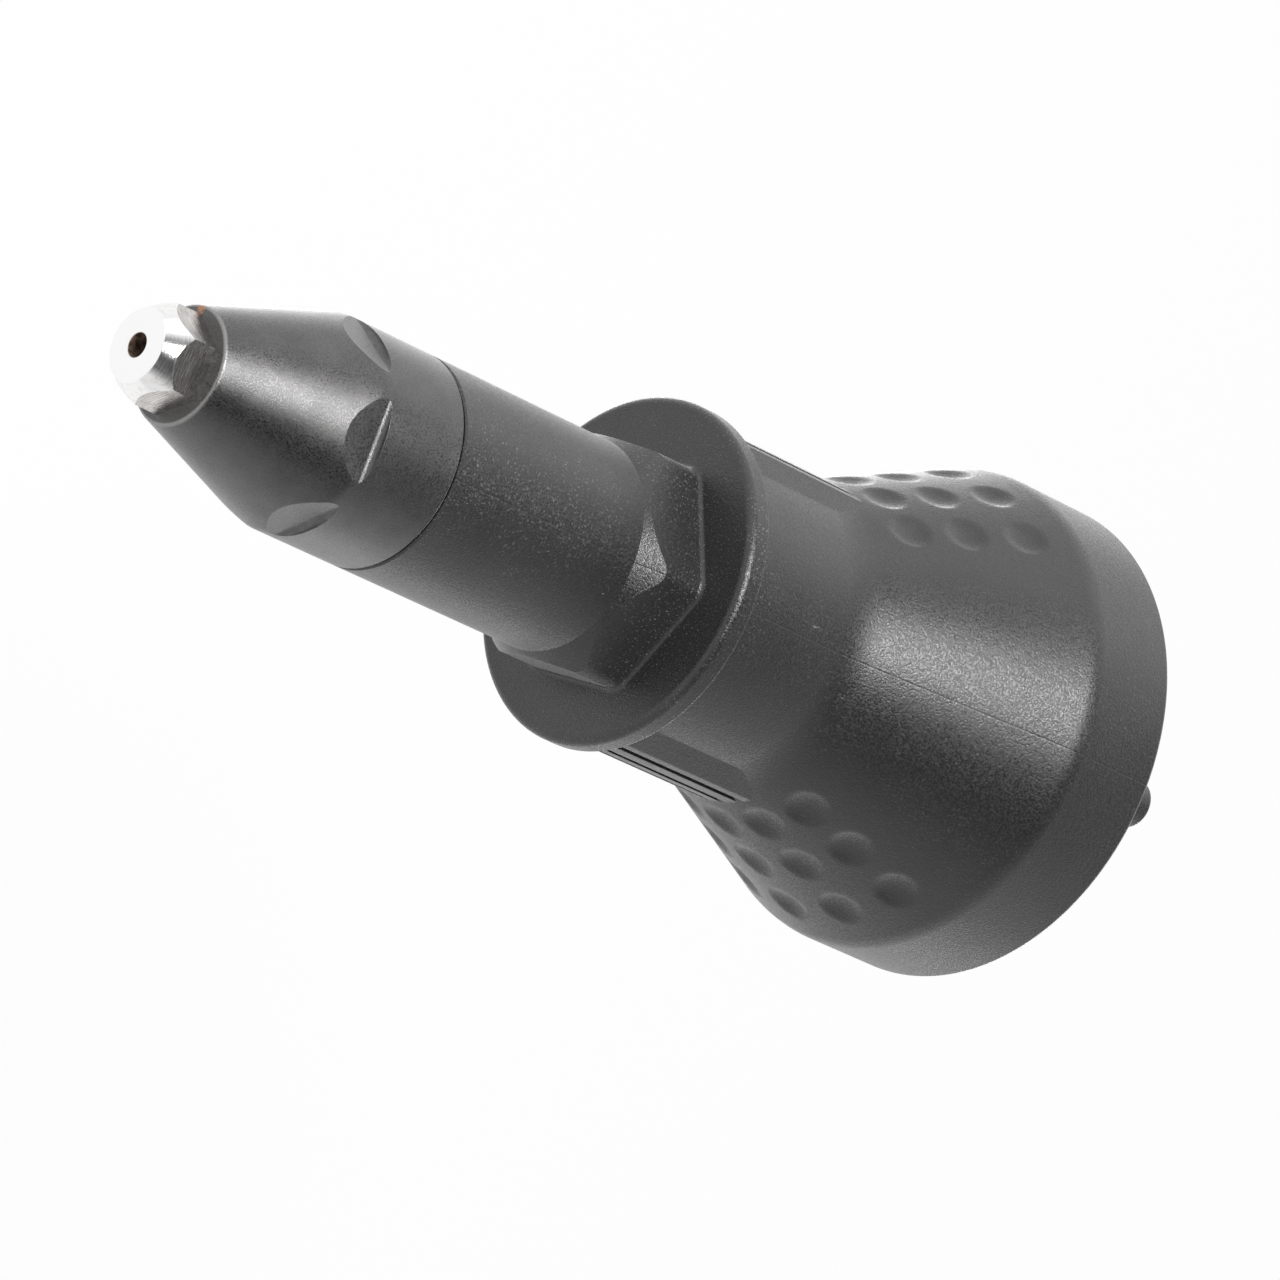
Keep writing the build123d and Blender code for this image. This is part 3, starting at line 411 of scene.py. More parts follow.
feed(oxide, "Normal", bump(oxide, grain, 0.06, 0.8, bump(oxide, streaks, 0.012, 0.5)))

worn_edge = new_finish("worn_steel_edge", Metallic=1.0)
edge_wear = noise(worn_edge, 1.4, detail=5)
feed(worn_edge, "Base Color", ramp(worn_edge, edge_wear, (0.4, 0.12), (0.6, 0.42)))
feed(worn_edge, "Roughness", ramp(worn_edge, edge_wear, (0.3, 0.4), (0.7, 0.24)))

sleeve = turned(
    "black_nose_sleeve",
    rounded(
        [
            (sleeve_front, sleeve_face - 0.1, 0.5),
            (sleeve_shoulder, grip, 5.0),
            (sleeve_back - edge_break, grip),
            (sleeve_back, grip - edge_break),
            (sleeve_back, tube_socket),
            (tube_seat, tube_socket),
            (tube_seat, tube_bore),
            (tube_stop, tube_bore),
            (tube_stop, jaw_room_back_radius),
            (sleeve_shoulder, jaw_room_back_radius),
            (jaw_room_front, jaw_room_front_radius),
            (jaw_room_front, sleeve_bore),
            (sleeve_front, sleeve_bore),
        ],
        10,
    ),
    around=256,
)
# The cutter's lower face mills a flat. Its rear edge is rounded, where the mill runs out.
bpy.ops.object.select_all(action="DESELECT")
bpy.ops.mesh.primitive_cube_add(size=1, location=(0.5, 0, 0.5))
bpy.ops.object.transform_apply(location=True)
flat_cutter = bpy.context.object
flat_cutter.scale = (flat_back * MM, 24 * MM, 6 * MM)
flat_cutter.location = (0, 0, flat_height * MM)
bpy.ops.object.transform_apply(location=True, scale=True)
for edge in flat_cutter.data.edges:
    ends = [flat_cutter.data.vertices[number].co for number in edge.vertices]
    rear = all(end.x > flat_back / 2 * MM for end in ends)
    lower = all(end.z < (flat_height + 1) * MM for end in ends)
    edge.select = rear and lower
bpy.ops.object.mode_set(mode="EDIT")
bpy.ops.mesh.select_mode(type="EDGE")
bpy.ops.mesh.bevel(offset=flat_run_out * MM, segments=8, affect="EDGES")
bpy.ops.object.mode_set(mode="OBJECT")
for turn in range(1, 6):
    bpy.ops.object.select_all(action="DESELECT")
    flat_cutter.select_set(True)
    bpy.context.view_layer.objects.active = flat_cutter
    bpy.ops.object.duplicate()
    bpy.context.object.rotation_euler = (turn * pi / 3, 0, 0)
    bpy.ops.object.transform_apply(rotation=True)
    combine(sleeve, bpy.context.object, "DIFFERENCE")
combine(sleeve, flat_cutter, "DIFFERENCE")
sleeve.data.materials.append(oxide)
sleeve.data.materials.append(worn_edge)
soften(sleeve, 0.13, angle=9, edge_material=1)
dress(sleeve, "tool_body", "black_oxide_steel", replaces=["nose_sleeve"])


# Housing, front half: barrel, hexagonal collar and flange of the one moulding in black
# glass-filled nylon. The tool's faces were spark-eroded, which gives its fine grain.
housing_front = 45.15
flange_front = 90.3
flange_back = 93.8
flange = 24.7
rim_back = 165.6
collar_front = 79.5
collar_across = 31.4
collar_corner = 1.73
collar_foot = 0.7
collar_cone_angle = radians(33)

nylon = new_finish("black_grained_nylon", IOR=1.58, Sheen_Weight=1.0, Sheen_Roughness=0.28)
pits = noise(nylon, 0.3, detail=2, Roughness=0.75)
bumps = noise(nylon, 0.7, detail=2)
waves = noise(nylon, 14, detail=3)
plain_colour = ramp(nylon, waves, (0.3, 0.013), (0.7, 0.018))
point = node(nylon, "SeparateXYZ", Vector=place(nylon))
# The mould's parting line runs along the housing, above and below.
near_middle = fade(nylon, sums(nylon, "ABSOLUTE", point.outputs["Y"]), 0.04, 0.18)
on_housing = fade(nylon, point.outputs["X"], rim_back, rim_back + 0.1)
parting_line = sums(nylon, "MULTIPLY", near_middle, on_housing)
# Lint: a few small cells, drawn out and bent.
askew = node(nylon, "Mapping", Vector=place(nylon), Rotation=(0.6, 0.8, 0.4), Scale=(0.25, 1, 1))
drift = node(nylon, "TexNoise", Vector=place(nylon), Scale=1 / (3 * MM))
wavy = node(
    nylon,
    "VectorMath",
    {"operation": "MULTIPLY_ADD"},
    _0=drift.outputs["Color"],
    _1=(2 * MM, 2 * MM, 2 * MM),
    _2=askew.outputs["Vector"],
)
cells = node(nylon, "TexVoronoi", Vector=wavy.outputs["Vector"], Scale=1 / (2.2 * MM))
near_cell = ramp(nylon, cells.outputs["Distance"], (0.03, 1), (0.06, 0))
few_cells = ramp(nylon, cells.outputs["Color"], (0.66, 0), (0.7, 1))
lint = sums(nylon, "MULTIPLY", near_cell, few_cells)
# Dust lies in specks, and mostly on the front half.
specks = ramp(nylon, noise(nylon, 0.3, detail=1), (0.66, 0), (0.7, 0.75))
settled = ramp(nylon, waves, (0.38, 0.25), (0.55, 1))
front_half = fade(nylon, point.outputs["X"], flange_back, flange_back + 8)
spread = sums(nylon, "MULTIPLY_ADD", front_half, 0.75, 0.25)
dust = sums(nylon, "MULTIPLY", sums(nylon, "MULTIPLY", specks, settled), spread)
dirt = sums(nylon, "MAXIMUM", lint, dust)
dirt_colour = (0.16, 0.16, 0.155, 1)
feed(nylon, "Base Color", blend(nylon, dirt, plain_colour, dirt_colour))
feed(nylon, "Roughness", ramp(nylon, pits, (0.42, 0.18), (0.58, 0.47)))
surface_grain = bump(nylon, pits, 0.083, 0.9, bump(nylon, bumps, 0.05, 0.5))
feed(nylon, "Normal", bump(nylon, parting_line, 0.08, 0.35, surface_grain, invert=True))

barrel = turned(
    "moulded_barrel",
    rounded(
        [
            (housing_front, tube_bore),
            (housing_front, grip - edge_break),
            (housing_front + edge_break, grip),
            (flange_front, grip),
            (flange_front, flange, 1.2),
            (flange_back, flange, 0.35),
            (flange_back, tube_bore),
        ],
        8,
    ),
    around=256,
)
bpy.ops.object.select_all(action="DESELECT")
bpy.ops.mesh.primitive_circle_add(
    vertices=6,
    radius=collar_across / 2 / cos(pi / 6) * MM,
    fill_type="NGON",
    location=(collar_front * MM, 0, 0),
    rotation=(0, pi / 2, 0),
)
collar = bpy.context.object
collar.name = "moulded_collar"
bpy.ops.object.transform_apply(location=True, rotation=True)
bpy.ops.object.mode_set(mode="EDIT")
bpy.ops.mesh.select_mode(type="VERT")
bpy.ops.mesh.select_all(action="SELECT")
bpy.ops.transform.rotate(value=pi / 6, orient_axis="X", center_override=(0, 0, 0))
bpy.ops.mesh.bevel(offset=collar_corner * MM, segments=8, affect="VERTICES")
bpy.ops.mesh.select_all(action="SELECT")
foot_steps = [(flange_front - collar_foot, 0)]
for turn in range(1, 7):
    angle = turn * pi / 12
    foot_steps.append(
        (flange_front - collar_foot * (1 - sin(angle)), collar_foot * (1 - cos(angle)))
    )
foot_steps.append((flange_front + 1, collar_foot))
here = (collar_front, 0)
for step in foot_steps:
    bpy.ops.mesh.extrude_region_move(
        TRANSFORM_OT_translate={"value": ((step[0] - here[0]) * MM, 0, 0)}
    )
    growth = (collar_across / 2 + step[1]) / (collar_across / 2 + here[1])
    bpy.ops.transform.resize(
        value=(1, growth, growth),
        center_override=(step[0] * MM, 0, 0),
    )
    here = step
bpy.ops.mesh.select_all(action="SELECT")
bpy.ops.mesh.normals_make_consistent(inside=False)
bpy.ops.object.mode_set(mode="OBJECT")
collar_cone = turned(
    "collar_cone",
    [
        (collar_front, 0),
        (collar_front, grip),
        (flange_front + 1, grip + (flange_front + 1 - collar_front) * tan(collar_cone_angle)),
        (flange_front + 1, 0),
    ],
)
combine(collar, collar_cone, "INTERSECT")
collar_bore = prism("collar_bore", 96, 2 * grip - 1, collar_front - 1, flange_front + 2)
combine(collar, collar_bore, "DIFFERENCE")
combine(barrel, collar, "UNION")
soften(barrel, 0, angle=22)
dress(barrel, "tool_body", "black_plastic", nylon, replaces=["housing"])


# Housing, rear half: the neck with its two ribbed thumb pads, and the bell over the
# gears, whose flare has fifteen finger dimples on each side.
neck = 21.6
flare_foot = 116.9
flare_top = 150.3
rim = 34.9
flare_slope = (rim - neck) / (flare_top - flare_foot)
cover_spigot_seat = 29.75
ring_seat = 27.4
ring_seat_back = 146.55
carrier_room = 24.35
carrier_room_back = 138.55
plate_seat = 22.0
plate_seat_back = 131.55
bearing_seat = 18.8
bearing_seat_front = 113.25
bearing_seat_back = 119.0

bell_line = rounded(
    [
        (flange_back, neck),
        (flare_foot, neck, 16.0),
        (flare_top, rim, 8.0),
        (rim_back, rim, 0.8),
        (rim_back, cover_spigot_seat),
        (ring_seat_back, cover_spigot_seat),
        (ring_seat_back, ring_seat),
        (carrier_room_back, ring_seat),
        (carrier_room_back, carrier_room),
        (plate_seat_back, carrier_room),
        (plate_seat_back, plate_seat),
        (bearing_seat_back, bearing_seat),
        (bearing_seat_front, bearing_seat),
        (bearing_seat_front, tube_bore),
        (flange_back, tube_bore),
    ],
    24,
)
# The flare takes the dimples, so it is cut into fine rings.
flare_rings = 56
fine_line = []
for here, ahead in zip(bell_line, bell_line[1:] + bell_line[:1]):
    is_steep = ahead[1] - here[1] > 5
    for step in range(flare_rings if is_steep else 1):
        share = step / flare_rings
        fine_line.append(
            (
                here[0] + share * (ahead[0] - here[0]),
                here[1] + share * (ahead[1] - here[1]),
            )
        )
bell = turned("moulded_bell", fine_line, around=440)

pad_radius = 23.2
pad_back = 121.6
pad_foot = 16.7
pad_top = 23.7
pad_foot_width = 25
pad_taper = 0.53
groove_width = 1.1
groove_pitch = 3.2
groove_depth = 1
bpy.ops.object.select_all(action="DESELECT")
bpy.ops.mesh.primitive_cube_add(
    size=MM,
    scale=(pad_back - flange_back + 0.3, pad_top - pad_foot, pad_foot_width),
    location=((pad_back + flange_back - 0.3) / 2 * MM, (pad_top + pad_foot) / 2 * MM, 0),
)
bpy.ops.object.transform_apply(location=True, scale=True)
pads = bpy.context.object
pads.name = "thumb_pads"
# The pads' flanks slope, so the block's outer face is drawn in before it is doubled.
for vertex in pads.data.vertices:
    vertex.select = vertex.co.y > (pad_foot + pad_top) / 2 * MM
for edge in pads.data.edges:
    edge.select = all(pads.data.vertices[number].select for number in edge.vertices)
for face in pads.data.polygons:
    face.select = all(pads.data.vertices[number].select for number in face.vertices)
bpy.ops.object.mode_set(mode="EDIT")
bpy.ops.transform.resize(value=(1, 1, pad_taper), center_override=(0, 0, 0))
bpy.ops.mesh.select_all(action="SELECT")
bpy.ops.mesh.duplicate_move()
bpy.ops.transform.rotate(value=pi, orient_axis="X", center_override=(0, 0, 0))
bpy.ops.object.mode_set(mode="OBJECT")
pad_round = prism("pad_round", 256, 2 * pad_radius, flange_back - 4, pad_back + 4)
combine(pads, pad_round, "INTERSECT")

bpy.ops.object.select_all(action="DESELECT")
bpy.ops.mesh.primitive_cube_add(
    size=MM,
    scale=(pad_back - flange_back, 60, groove_width),
    location=((pad_back + flange_back) / 2 * MM, 0, -2 * groove_pitch * MM),
)
bpy.ops.object.transform_apply(location=True, scale=True)
grooves = bpy.context.object
bpy.ops.object.mode_set(mode="EDIT")
for groove in range(4):
    bpy.ops.mesh.duplicate_move(TRANSFORM_OT_translate={"value": (0, 0, groove_pitch * MM)})
bpy.ops.object.mode_set(mode="OBJECT")
groove_across = 2 * (pad_radius - groove_depth)
groove_floor = prism("groove_floor", 256, groove_across, flange_back - 4, pad_back + 4)
combine(grooves, groove_floor, "DIFFERENCE")
combine(pads, grooves, "DIFFERENCE")
soften(pads, 0.25, angle=35)
combine(bell, pads, "UNION")

# Each dimple is pushed in at the vertex nearest to its middle, with a soft fall-off.
dimple_depth = 0.8
dimple_radius = 3.2
first_row = 125.4
row_pitch = 8.6
column_pitch = radians(17.9)
for side in (0, pi):
    for row in range(3):
        station = first_row + row_pitch * row
        surface = neck + flare_slope * (station - flare_foot)
        for column in range(-2, 3):
            angle = side + column_pitch * column
            middle = Vector((station, surface * cos(angle), surface * sin(angle))) * MM
            inward = Vector((flare_slope, -cos(angle), -sin(angle))).normalized()
            distances = [(vertex.co - middle).length for vertex in bell.data.vertices]
            nearest = distances.index(min(distances))
            for item in (bell.data.vertices, bell.data.edges, bell.data.polygons):
                item.foreach_set("select", [False] * len(item))
            bell.data.vertices[nearest].select = True
            bpy.context.view_layer.objects.active = bell
            bpy.ops.object.mode_set(mode="EDIT")
            bpy.ops.mesh.select_mode(type="VERT")
            bpy.ops.transform.translate(
                value=inward * dimple_depth * MM,
                use_proportional_edit=True,
                use_proportional_connected=True,
                proportional_edit_falloff="INVERSE_SQUARE",
                proportional_size=dimple_radius * MM,
            )
            bpy.ops.object.mode_set(mode="OBJECT")
dress(bell, "tool_body", "black_plastic", nylon)
soften(bell, 0, angle=30)


# Inner tube with its keys, bush and rubber ring: a pressure tube of turned steel inside
# the barrel. The keys are pressed into its slots, and the bush is sintered bronze.
def finish_nodes(finish, *names):
    """Puts a finish on the nodes that come from the solid model."""
    for name in names:
        for material_slot in nodes[name].material_slots:
            material_slot.material = finish


def turned_marks(material, pitch, depth):
    """Fine rings left by the lathe, that far apart in millimetres."""
    rings = noise(material, pitch, detail=3, at=off_axis(material), Roughness=0.6)
    return bump(material, rings, depth, 0.6)


turned_steel = new_finish("turned_steel", Metallic=1.0)
oil_film = noise(turned_steel, 6, detail=4)
oily_colour = ramp(turned_steel, oil_film, (0.3, (0.36, 0.35, 0.34)), (0.7, (0.5, 0.5, 0.5)))
feed(turned_steel, "Base Color", oily_colour)
feed(turned_steel, "Roughness", ramp(turned_steel, oil_film, (0.3, 0.22), (0.7, 0.36)))
feed(turned_steel, "Normal", turned_marks(turned_steel, 0.3, 0.02))
finish_nodes(turned_steel, "inner_tube")

hard_steel = new_finish("hardened_steel", Metallic=1.0)
temper = noise(hard_steel, 5, detail=5)
temper_colour = ramp(
    hard_steel,
    temper,
    (0.3, (0.19, 0.17, 0.16)),
    (0.52, (0.26, 0.25, 0.25)),
    (0.75, (0.24, 0.26, 0.3)),
)
feed(hard_steel, "Base Color", temper_colour)
feed(hard_steel, "Roughness", ramp(hard_steel, temper, (0.3, 0.44), (0.7, 0.28)))
scale_marks = noise(hard_steel, 0.4, detail=3)
feed(hard_steel, "Normal", bump(hard_steel, scale_marks, 0.03, 0.6))
finish_nodes(hard_steel, "guide_keys")

bronze = new_finish("sintered_bronze", Metallic=1.0)
pores = noise(bronze, 0.35, detail=3, Roughness=0.7)
oil = noise(bronze, 4, detail=3)
bronze_tone = sums(bronze, "MULTIPLY_ADD", pores, 0.6, oil)
bronze_colour = ramp(bronze, bronze_tone, (0.55, (0.26, 0.15, 0.07)), (1.0, (0.6, 0.41, 0.2)))
feed(bronze, "Base Color", bronze_colour)
feed(bronze, "Roughness", ramp(bronze, pores, (0.35, 0.5), (0.65, 0.3)))
feed(bronze, "Normal", bump(bronze, pores, 0.06, 0.7))
finish_nodes(bronze, "guide_bush")

nitrile = new_finish("nitrile_rubber", IOR=1.5, Sheen_Weight=0.25, Sheen_Roughness=0.5)
bloom = noise(nitrile, 1.5, detail=5)
feed(nitrile, "Base Color", ramp(nitrile, bloom, (0.4, 0.012), (0.75, 0.045)))
feed(nitrile, "Roughness", ramp(nitrile, bloom, (0.3, 0.55), (0.7, 0.8)))
feed(nitrile, "Normal", bump(nitrile, noise(nitrile, 0.4, detail=2), 0.04, 0.5))
finish_nodes(nitrile, "seal_ring")


# Jaws and what pulls them: three hardened segments in the cone of a steel case, pushed
# forward by a sprung pusher. The case is screwed onto the hollow drawbar.
finish_nodes(hard_steel, "jaw_1", "jaw_2", "jaw_3", "jaw_case")
finish_nodes(turned_steel, "jaw_pusher", "drawbar")

wire = new_finish("drawn_spring_wire", Metallic=1.0)
drawn = noise(wire, 0.5, detail=5, Roughness=0.7)
feed(wire, "Base Color", ramp(wire, drawn, (0.35, (0.2, 0.2, 0.21)), (0.65, (0.38, 0.38, 0.4))))
feed(wire, "Roughness", ramp(wire, drawn, (0.3, 0.42), (0.7, 0.28)))
feed(wire, "Normal", bump(wire, drawn, 0.02, 0.6))
finish_nodes(wire, "jaw_spring")


# Screw and thrust bearing: the carrier's screw runs in the drawbar's bronze nut, and
# leans on a ball bearing whose races are ground and whose cage is pressed brass.
finish_nodes(bronze, "drawbar_nut", "spindle_bush")
finish_nodes(hard_steel, "lead_screw")

ground_steel = new_finish("ground_bearing_steel", Metallic=1.0)
grease = noise(ground_steel, 3, detail=4)
ground_colour = ramp(ground_steel, grease, (0.35, (0.5, 0.48, 0.44)), (0.6, (0.68, 0.68, 0.69)))
feed(ground_steel, "Base Color", ground_colour)
feed(ground_steel, "Roughness", ramp(ground_steel, grease, (0.3, 0.26), (0.65, 0.1)))
feed(ground_steel, "Normal", turned_marks(ground_steel, 0.15, 0.006))
finish_nodes(ground_steel, "thrust_race_front", "thrust_race_rear", "thrust_balls")

brass = new_finish("pressed_brass", Metallic=1.0)
tarnish = noise(brass, 2.5, detail=5)
brass_colour = ramp(brass, tarnish, (0.35, (0.42, 0.28, 0.11)), (0.65, (0.7, 0.52, 0.24)))
feed(brass, "Base Color", brass_colour)
feed(brass, "Roughness", ramp(brass, tarnish, (0.3, 0.42), (0.7, 0.22)))
feed(brass, "Normal", bump(brass, noise(brass, 0.3, detail=3), 0.015, 0.5))
finish_nodes(brass, "thrust_cage")


# Gears: the carrier holds three planets between its plate and its own web. Planets and
# ring are sintered steel, oiled, with a faint open grain on their teeth.
sintered = new_finish("sintered_gear_steel", Metallic=1.0)
open_grain = noise(sintered, 0.4, detail=4, Roughness=0.7)
oiled = noise(sintered, 5, detail=3)
gear_colour = ramp(sintered, oiled, (0.3, (0.27, 0.25, 0.23)), (0.7, (0.4, 0.4, 0.4)))
feed(sintered, "Base Color", gear_colour)
feed(sintered, "Roughness", ramp(sintered, open_grain, (0.35, 0.52), (0.65, 0.3)))
feed(sintered, "Normal", bump(sintered, open_grain, 0.05, 0.7))
finish_nodes(sintered, "planet_gear_1", "planet_gear_2", "planet_gear_3", "ring_gear")
finish_nodes(turned_steel, "planet_carrier", "carrier_plate")
finish_nodes(hard_steel, "planet_pins")

zinc = new_finish("zinc_plated_steel", Metallic=1.0)
spangle = noise(zinc, 1.2, detail=4)
zinc_colour = ramp(
    zinc,
    spangle,
    (0.35, (0.46, 0.45, 0.4)),
    (0.52, (0.6, 0.6, 0.58)),
    (0.7, (0.52, 0.55, 0.6)),
)
feed(zinc, "Base Color", zinc_colour)
feed(zinc, "Roughness", ramp(zinc, spangle, (0.3, 0.42), (0.7, 0.26)))
feed(zinc, "Normal", bump(zinc, noise(zinc, 0.3, detail=3), 0.015, 0.5))
finish_nodes(zinc, "plate_screws")


# Drive end: the hardened shank with its sun gear, its ball bearing and circlip, the
# plate that holds the bearing, and the rubber lip seal round the shank.
finish_nodes(hard_steel, "drive_shank")
finish_nodes(ground_steel, "bearing_outer_race", "bearing_inner_race", "bearing_balls")
finish_nodes(brass, "bearing_cage")
finish_nodes(turned_steel, "bearing_plate")
finish_nodes(nitrile, "shaft_seal")

phosphate = new_finish("black_phosphate_steel", Metallic=1.0)
crystals = noise(phosphate, 0.3, detail=3, Roughness=0.7)
handled = noise(phosphate, 1.6, detail=5)
phosphate_tone = sums(phosphate, "MULTIPLY_ADD", crystals, 0.3, handled)
phosphate_colour = ramp(phosphate, phosphate_tone, (0.55, 0.045), (0.8, 0.08), (0.95, 0.3))
feed(phosphate, "Base Color", phosphate_colour)
feed(phosphate, "Roughness", ramp(phosphate, handled, (0.3, 0.55), (0.7, 0.35)))
feed(phosphate, "Normal", bump(phosphate, crystals, 0.04, 0.7))
finish_nodes(phosphate, "shank_circlip")


# Rear cover: a second moulding in the same nylon that closes the bell, with a ribbed
# recess round its boss. Its four rounded lugs lap over the rim for one screw each.
cover_back = 168.0
cover_seat = 165.62
cover_ring = 30.4
cover_boss = 12.5
boss_back = 170.69
seal_bore = 9.42
seal_floor = 166.97
hub_front = 158.95
hub_bore = 14.02
hub = 17.2
spigot_front = 156.75
spigot_bore = 27.3
spigot = 29.7
recess_depth = 0.6
recess_edge = 27.2
recess_foot = 14.4
rib_length = 13.2
rib_width = 1.4
rib_count = 8
rib_centre = 20.4
rib_sink = 0.65
lug = 3.4
lug_circle = 31.0
screw_circle = 31.6
screw_hole = 1.3
sink_depth = 0.95
sink = 2.35
screw_angles = [radians(95 + 90 * quarter) for quarter in range(4)]

cover = turned(
    "moulded_rear_cover",
    rounded(
        [
            (hub_front, hub_bore),
            (hub_front, hub),
            (cover_seat, hub),
            (cover_seat, spigot_bore),
            (spigot_front, spigot_bore),
            (spigot_front, spigot),
            (cover_seat, spigot),
            (cover_seat, cover_ring),
            (cover_back, cover_ring, 0.5),
            (cover_back, recess_edge, 0.3),
            (cover_back - recess_depth, recess_edge - recess_depth, 0.3),
            (cover_back - recess_depth, recess_foot, 0.3),
            (cover_back, cover_boss, 0.5),
            (boss_back, cover_boss, 0.6),
            (boss_back, seal_bore + 0.5),
            (boss_back - 0.5, seal_bore),
            (seal_floor, seal_bore),
            (seal_floor, hub_bore),
        ],
        5,
    ),
)
bpy.ops.object.select_all(action="DESELECT")
bpy.ops.mesh.primitive_cube_add(
    size=MM,
    scale=(1.0, rib_length, rib_width),
    location=((cover_back - rib_sink) * MM, rib_centre * MM, 0),
)
bpy.ops.object.transform_apply(location=True, scale=True)
cover_ribs = bpy.context.object
bpy.ops.object.mode_set(mode="EDIT")
bpy.ops.mesh.select_all(action="SELECT")
bpy.ops.transform.rotate(value=pi / rib_count, orient_axis="X", center_override=(0, 0, 0))
for rib in range(1, rib_count):
    bpy.ops.mesh.duplicate_move()
    bpy.ops.transform.rotate(value=2 * pi / rib_count, orient_axis="X", center_override=(0, 0, 0))
bpy.ops.object.mode_set(mode="OBJECT")
soften(cover_ribs, 0.2)
combine(cover, cover_ribs, "UNION")


def off_centre(piece, radius, angle):
    """Moves a piece from the tool's axis to that radius and angle round it."""
    bpy.ops.object.select_all(action="DESELECT")
    piece.select_set(True)
    bpy.context.view_layer.objects.active = piece
    piece.location = (0, radius * cos(angle) * MM, radius * sin(angle) * MM)
    bpy.ops.object.transform_apply(location=True)
    return piece


for angle in screw_angles:
    lug_outline = [
        (cover_seat, 0),
        (cover_seat, lug),
        (cover_back, lug, 0.5),
        (cover_back, 0),
    ]
    cover_lug = turned("cover_lug", rounded(lug_outline, 5), around=64)
    combine(cover, off_centre(cover_lug, lug_circle, angle), "UNION")
    sink_outline = [
        (cover_seat - 1, 0),
        (cover_seat - 1, screw_hole),
        (cover_back - sink_depth, screw_hole),
        (cover_back + 0.1, sink),
        (cover_back + 0.1, 0),
    ]
    countersink = turned("countersink", sink_outline, around=48)
    combine(cover, off_centre(countersink, screw_circle, angle), "DIFFERENCE")
soften(cover, 0, angle=35)
dress(cover, "tool_body", "black_plastic", nylon, replaces=["rear_cover"])


# Cover screws: four countersunk self-tapping screws of black phosphated steel. Each has
# a pressed cross recess, and is driven through a lug into the bell's wall.
screw_head = 2.2
screw_shank = 1.25
screw_tip = 159.0
cross_across = 2.3
cross_width = 0.5
cover_screw = turned(
    "cover_screw_1",
    [
        (screw_tip, 0),
        (screw_tip + 0.6, 1.0),
        (screw_tip + 1.2, screw_shank),
        (cover_back - sink_depth, screw_shank),
        (cover_back - 0.08, screw_head - 0.03),
        (cover_back, screw_head - 0.15),
        (cover_back, 0),
    ],
    around=48,
)
for slot_turn in (0, pi / 2):
    bpy.ops.object.select_all(action="DESELECT")
    bpy.ops.mesh.primitive_cube_add(
        size=MM,
        scale=(2.0, cross_across, cross_width),
        location=(cover_back * MM, 0, 0),
    )
    bpy.ops.object.transform_apply(location=True, scale=True)
    recess = bpy.context.object
    for face in recess.data.polygons:
        face.select = face.normal.x < -0.9
    bpy.ops.object.mode_set(mode="EDIT")
    bpy.ops.mesh.select_mode(type="FACE")
    bpy.ops.transform.resize(value=(1, 0.45, 0.5), center_override=(0, 0, 0))
    bpy.ops.mesh.select_all(action="SELECT")
    bpy.ops.transform.rotate(value=slot_turn, orient_axis="X", center_override=(0, 0, 0))
    bpy.ops.object.mode_set(mode="OBJECT")
    combine(cover_screw, recess, "DIFFERENCE")
soften(cover_screw, 0, angle=30)
for number, angle in enumerate(screw_angles, start=1):
    screw = cover_screw
    if number < len(screw_angles):
        screw = cover_screw.copy()
        screw.data = cover_screw.data.copy()
        bpy.context.collection.objects.link(screw)
    off_centre(screw, screw_circle, angle)
    dress(screw, "tool_body", "black_screw_steel", phosphate, replaces=["cover_screws"])
    screw.name = f"cross_screw_{number}"


# Stage: a white floor far below the tool, which a drill holds by its shank, a soft box
# overhead, and pale walls all round.
floor_level = -0.3
floor_width = 8
floor_glow = 0.92

floor_white = new_finish("white_floor", Base_Color=(0.86, 0.86, 0.86, 1), Roughness=0.9)
bpy.ops.object.select_all(action="DESELECT")
bpy.ops.mesh.primitive_plane_add(size=floor_width, location=(0.1, 0, floor_level))
floor = bpy.context.object
floor.name = "studio_floor"
floor.data.materials.append(floor_white)

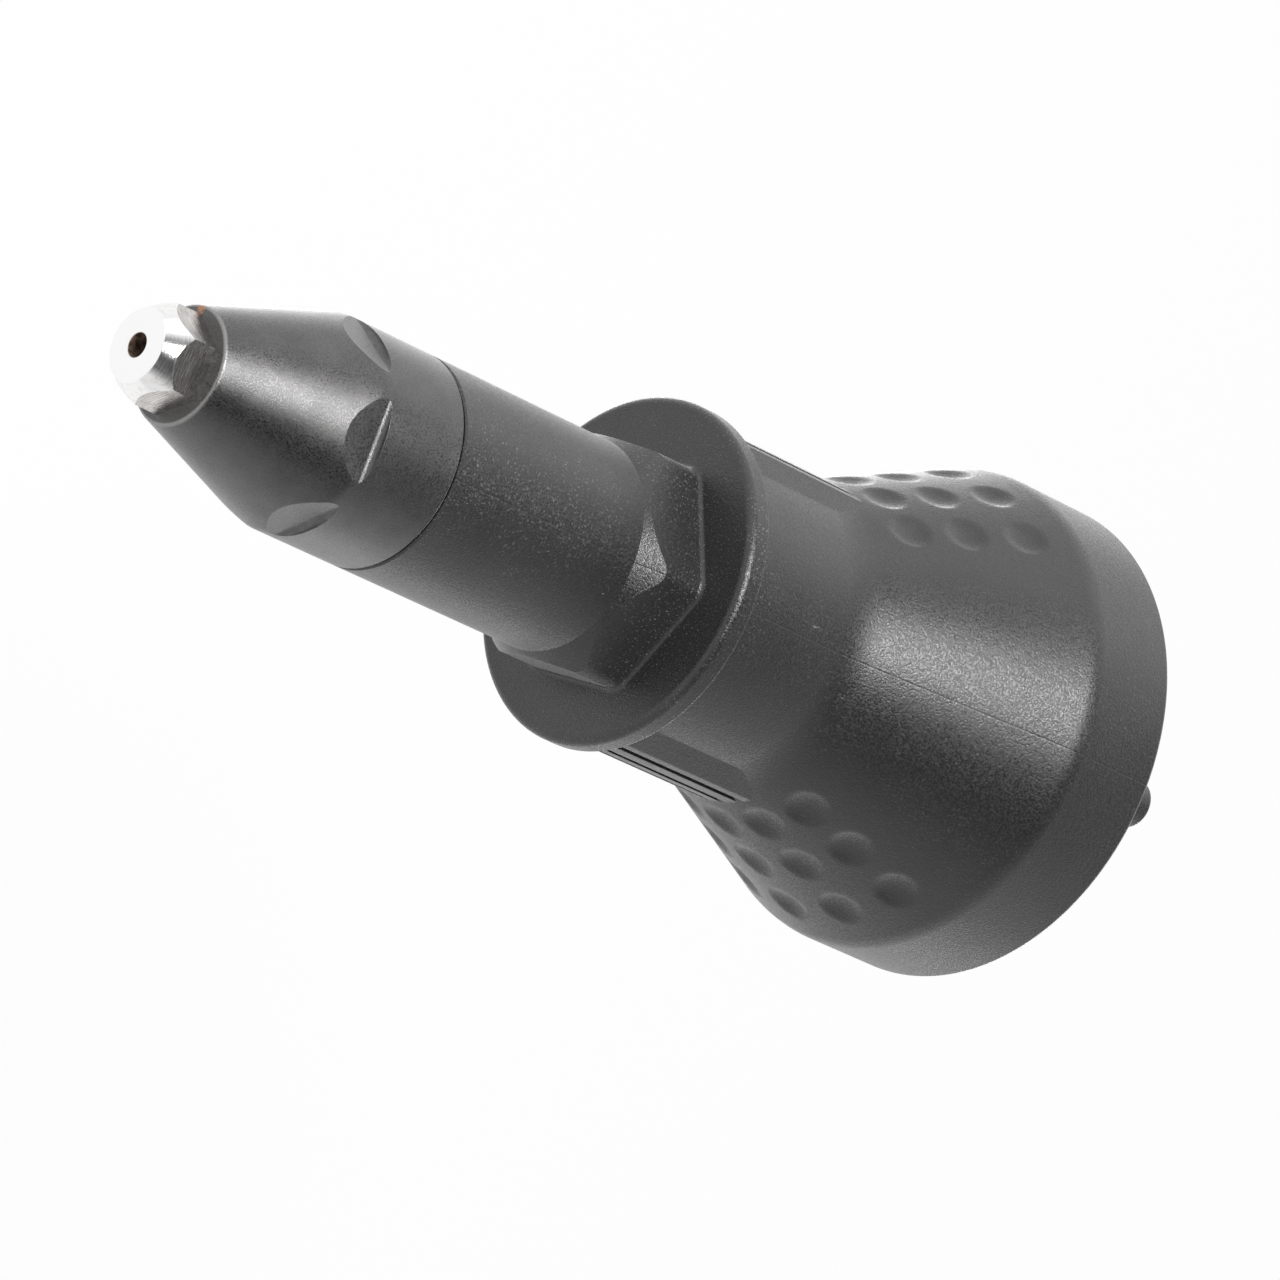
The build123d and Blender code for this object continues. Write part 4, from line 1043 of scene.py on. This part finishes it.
seen = node(floor_white, "LightPath")
white = node(floor_white, "Emission", Color=(1, 1, 1, 1), Strength=1.0)
in_mirror = sums(
    floor_white,
    "MAXIMUM",
    seen.outputs["Is Glossy Ray"],
    seen.outputs["Is Transmission Ray"],
)
in_view = sums(floor_white, "MAXIMUM", seen.outputs["Is Camera Ray"], in_mirror)
floor_mix = node(
    floor_white,
    "MixShader",
    Fac=sums(floor_white, "MULTIPLY", in_view, floor_glow),
    _1=floor_white.node_tree.nodes["Principled BSDF"].outputs["BSDF"],
    _2=white.outputs["Emission"],
)
floor_white.node_tree.links.new(
    floor_mix.outputs["Shader"],
    floor_white.node_tree.nodes["Material Output"].inputs["Surface"],
)

bpy.ops.object.light_add(type="AREA", location=(-0.04, 0.33, 0.95))
soft_box = bpy.context.object
soft_box.data.shape = "RECTANGLE"
soft_box.data.size = 0.65
soft_box.data.size_y = 0.36
soft_box.data.energy = 15
aim = Vector((0.09, 0, 0)) - soft_box.location
soft_box.rotation_euler = aim.to_track_quat("-Z", "Y").to_euler()

world = bpy.data.worlds.new("pale_studio")
bpy.context.scene.world = world
world.use_nodes = True
direction = node(world, "TexCoord").outputs["Generated"]
apart = node(world, "SeparateXYZ", Vector=direction)
# The walls are pale up to the ceiling, which is dark, and palest on the far side.
walls = node(
    world,
    "MapRange",
    Value=apart.outputs["Z"],
    From_Min=0.4,
    From_Max=0.75,
    To_Min=1.0,
    To_Max=0.08,
).outputs["Result"]
far_side = node(
    world,
    "MapRange",
    Value=apart.outputs["Y"],
    From_Min=-0.6,
    From_Max=0.9,
    To_Min=0.8,
    To_Max=1.6,
).outputs["Result"]
# Matt surfaces get less of it than glossy ones mirror.
rays = node(world, "LightPath")
share = node(
    world,
    "MapRange",
    Value=rays.outputs["Is Diffuse Ray"],
    To_Min=1.0,
    To_Max=0.6,
).outputs["Result"]
strength = sums(world, "MULTIPLY", sums(world, "MULTIPLY", walls, far_side), share)
backdrop = world.node_tree.nodes["Background"]
world.node_tree.links.new(strength, backdrop.inputs["Strength"])
backdrop.inputs["Color"].default_value = (1, 1, 1, 1)

bpy.ops.object.camera_add(
    location=(-0.6903, -0.1034, 0.8574),
    rotation=(radians(-13.841), radians(-40.972), radians(27.537)),
)
camera = bpy.context.object
camera.data.lens = 244.07
camera.data.sensor_width = 36
bpy.context.scene.camera = camera
bpy.context.scene.view_settings.view_transform = "Standard"
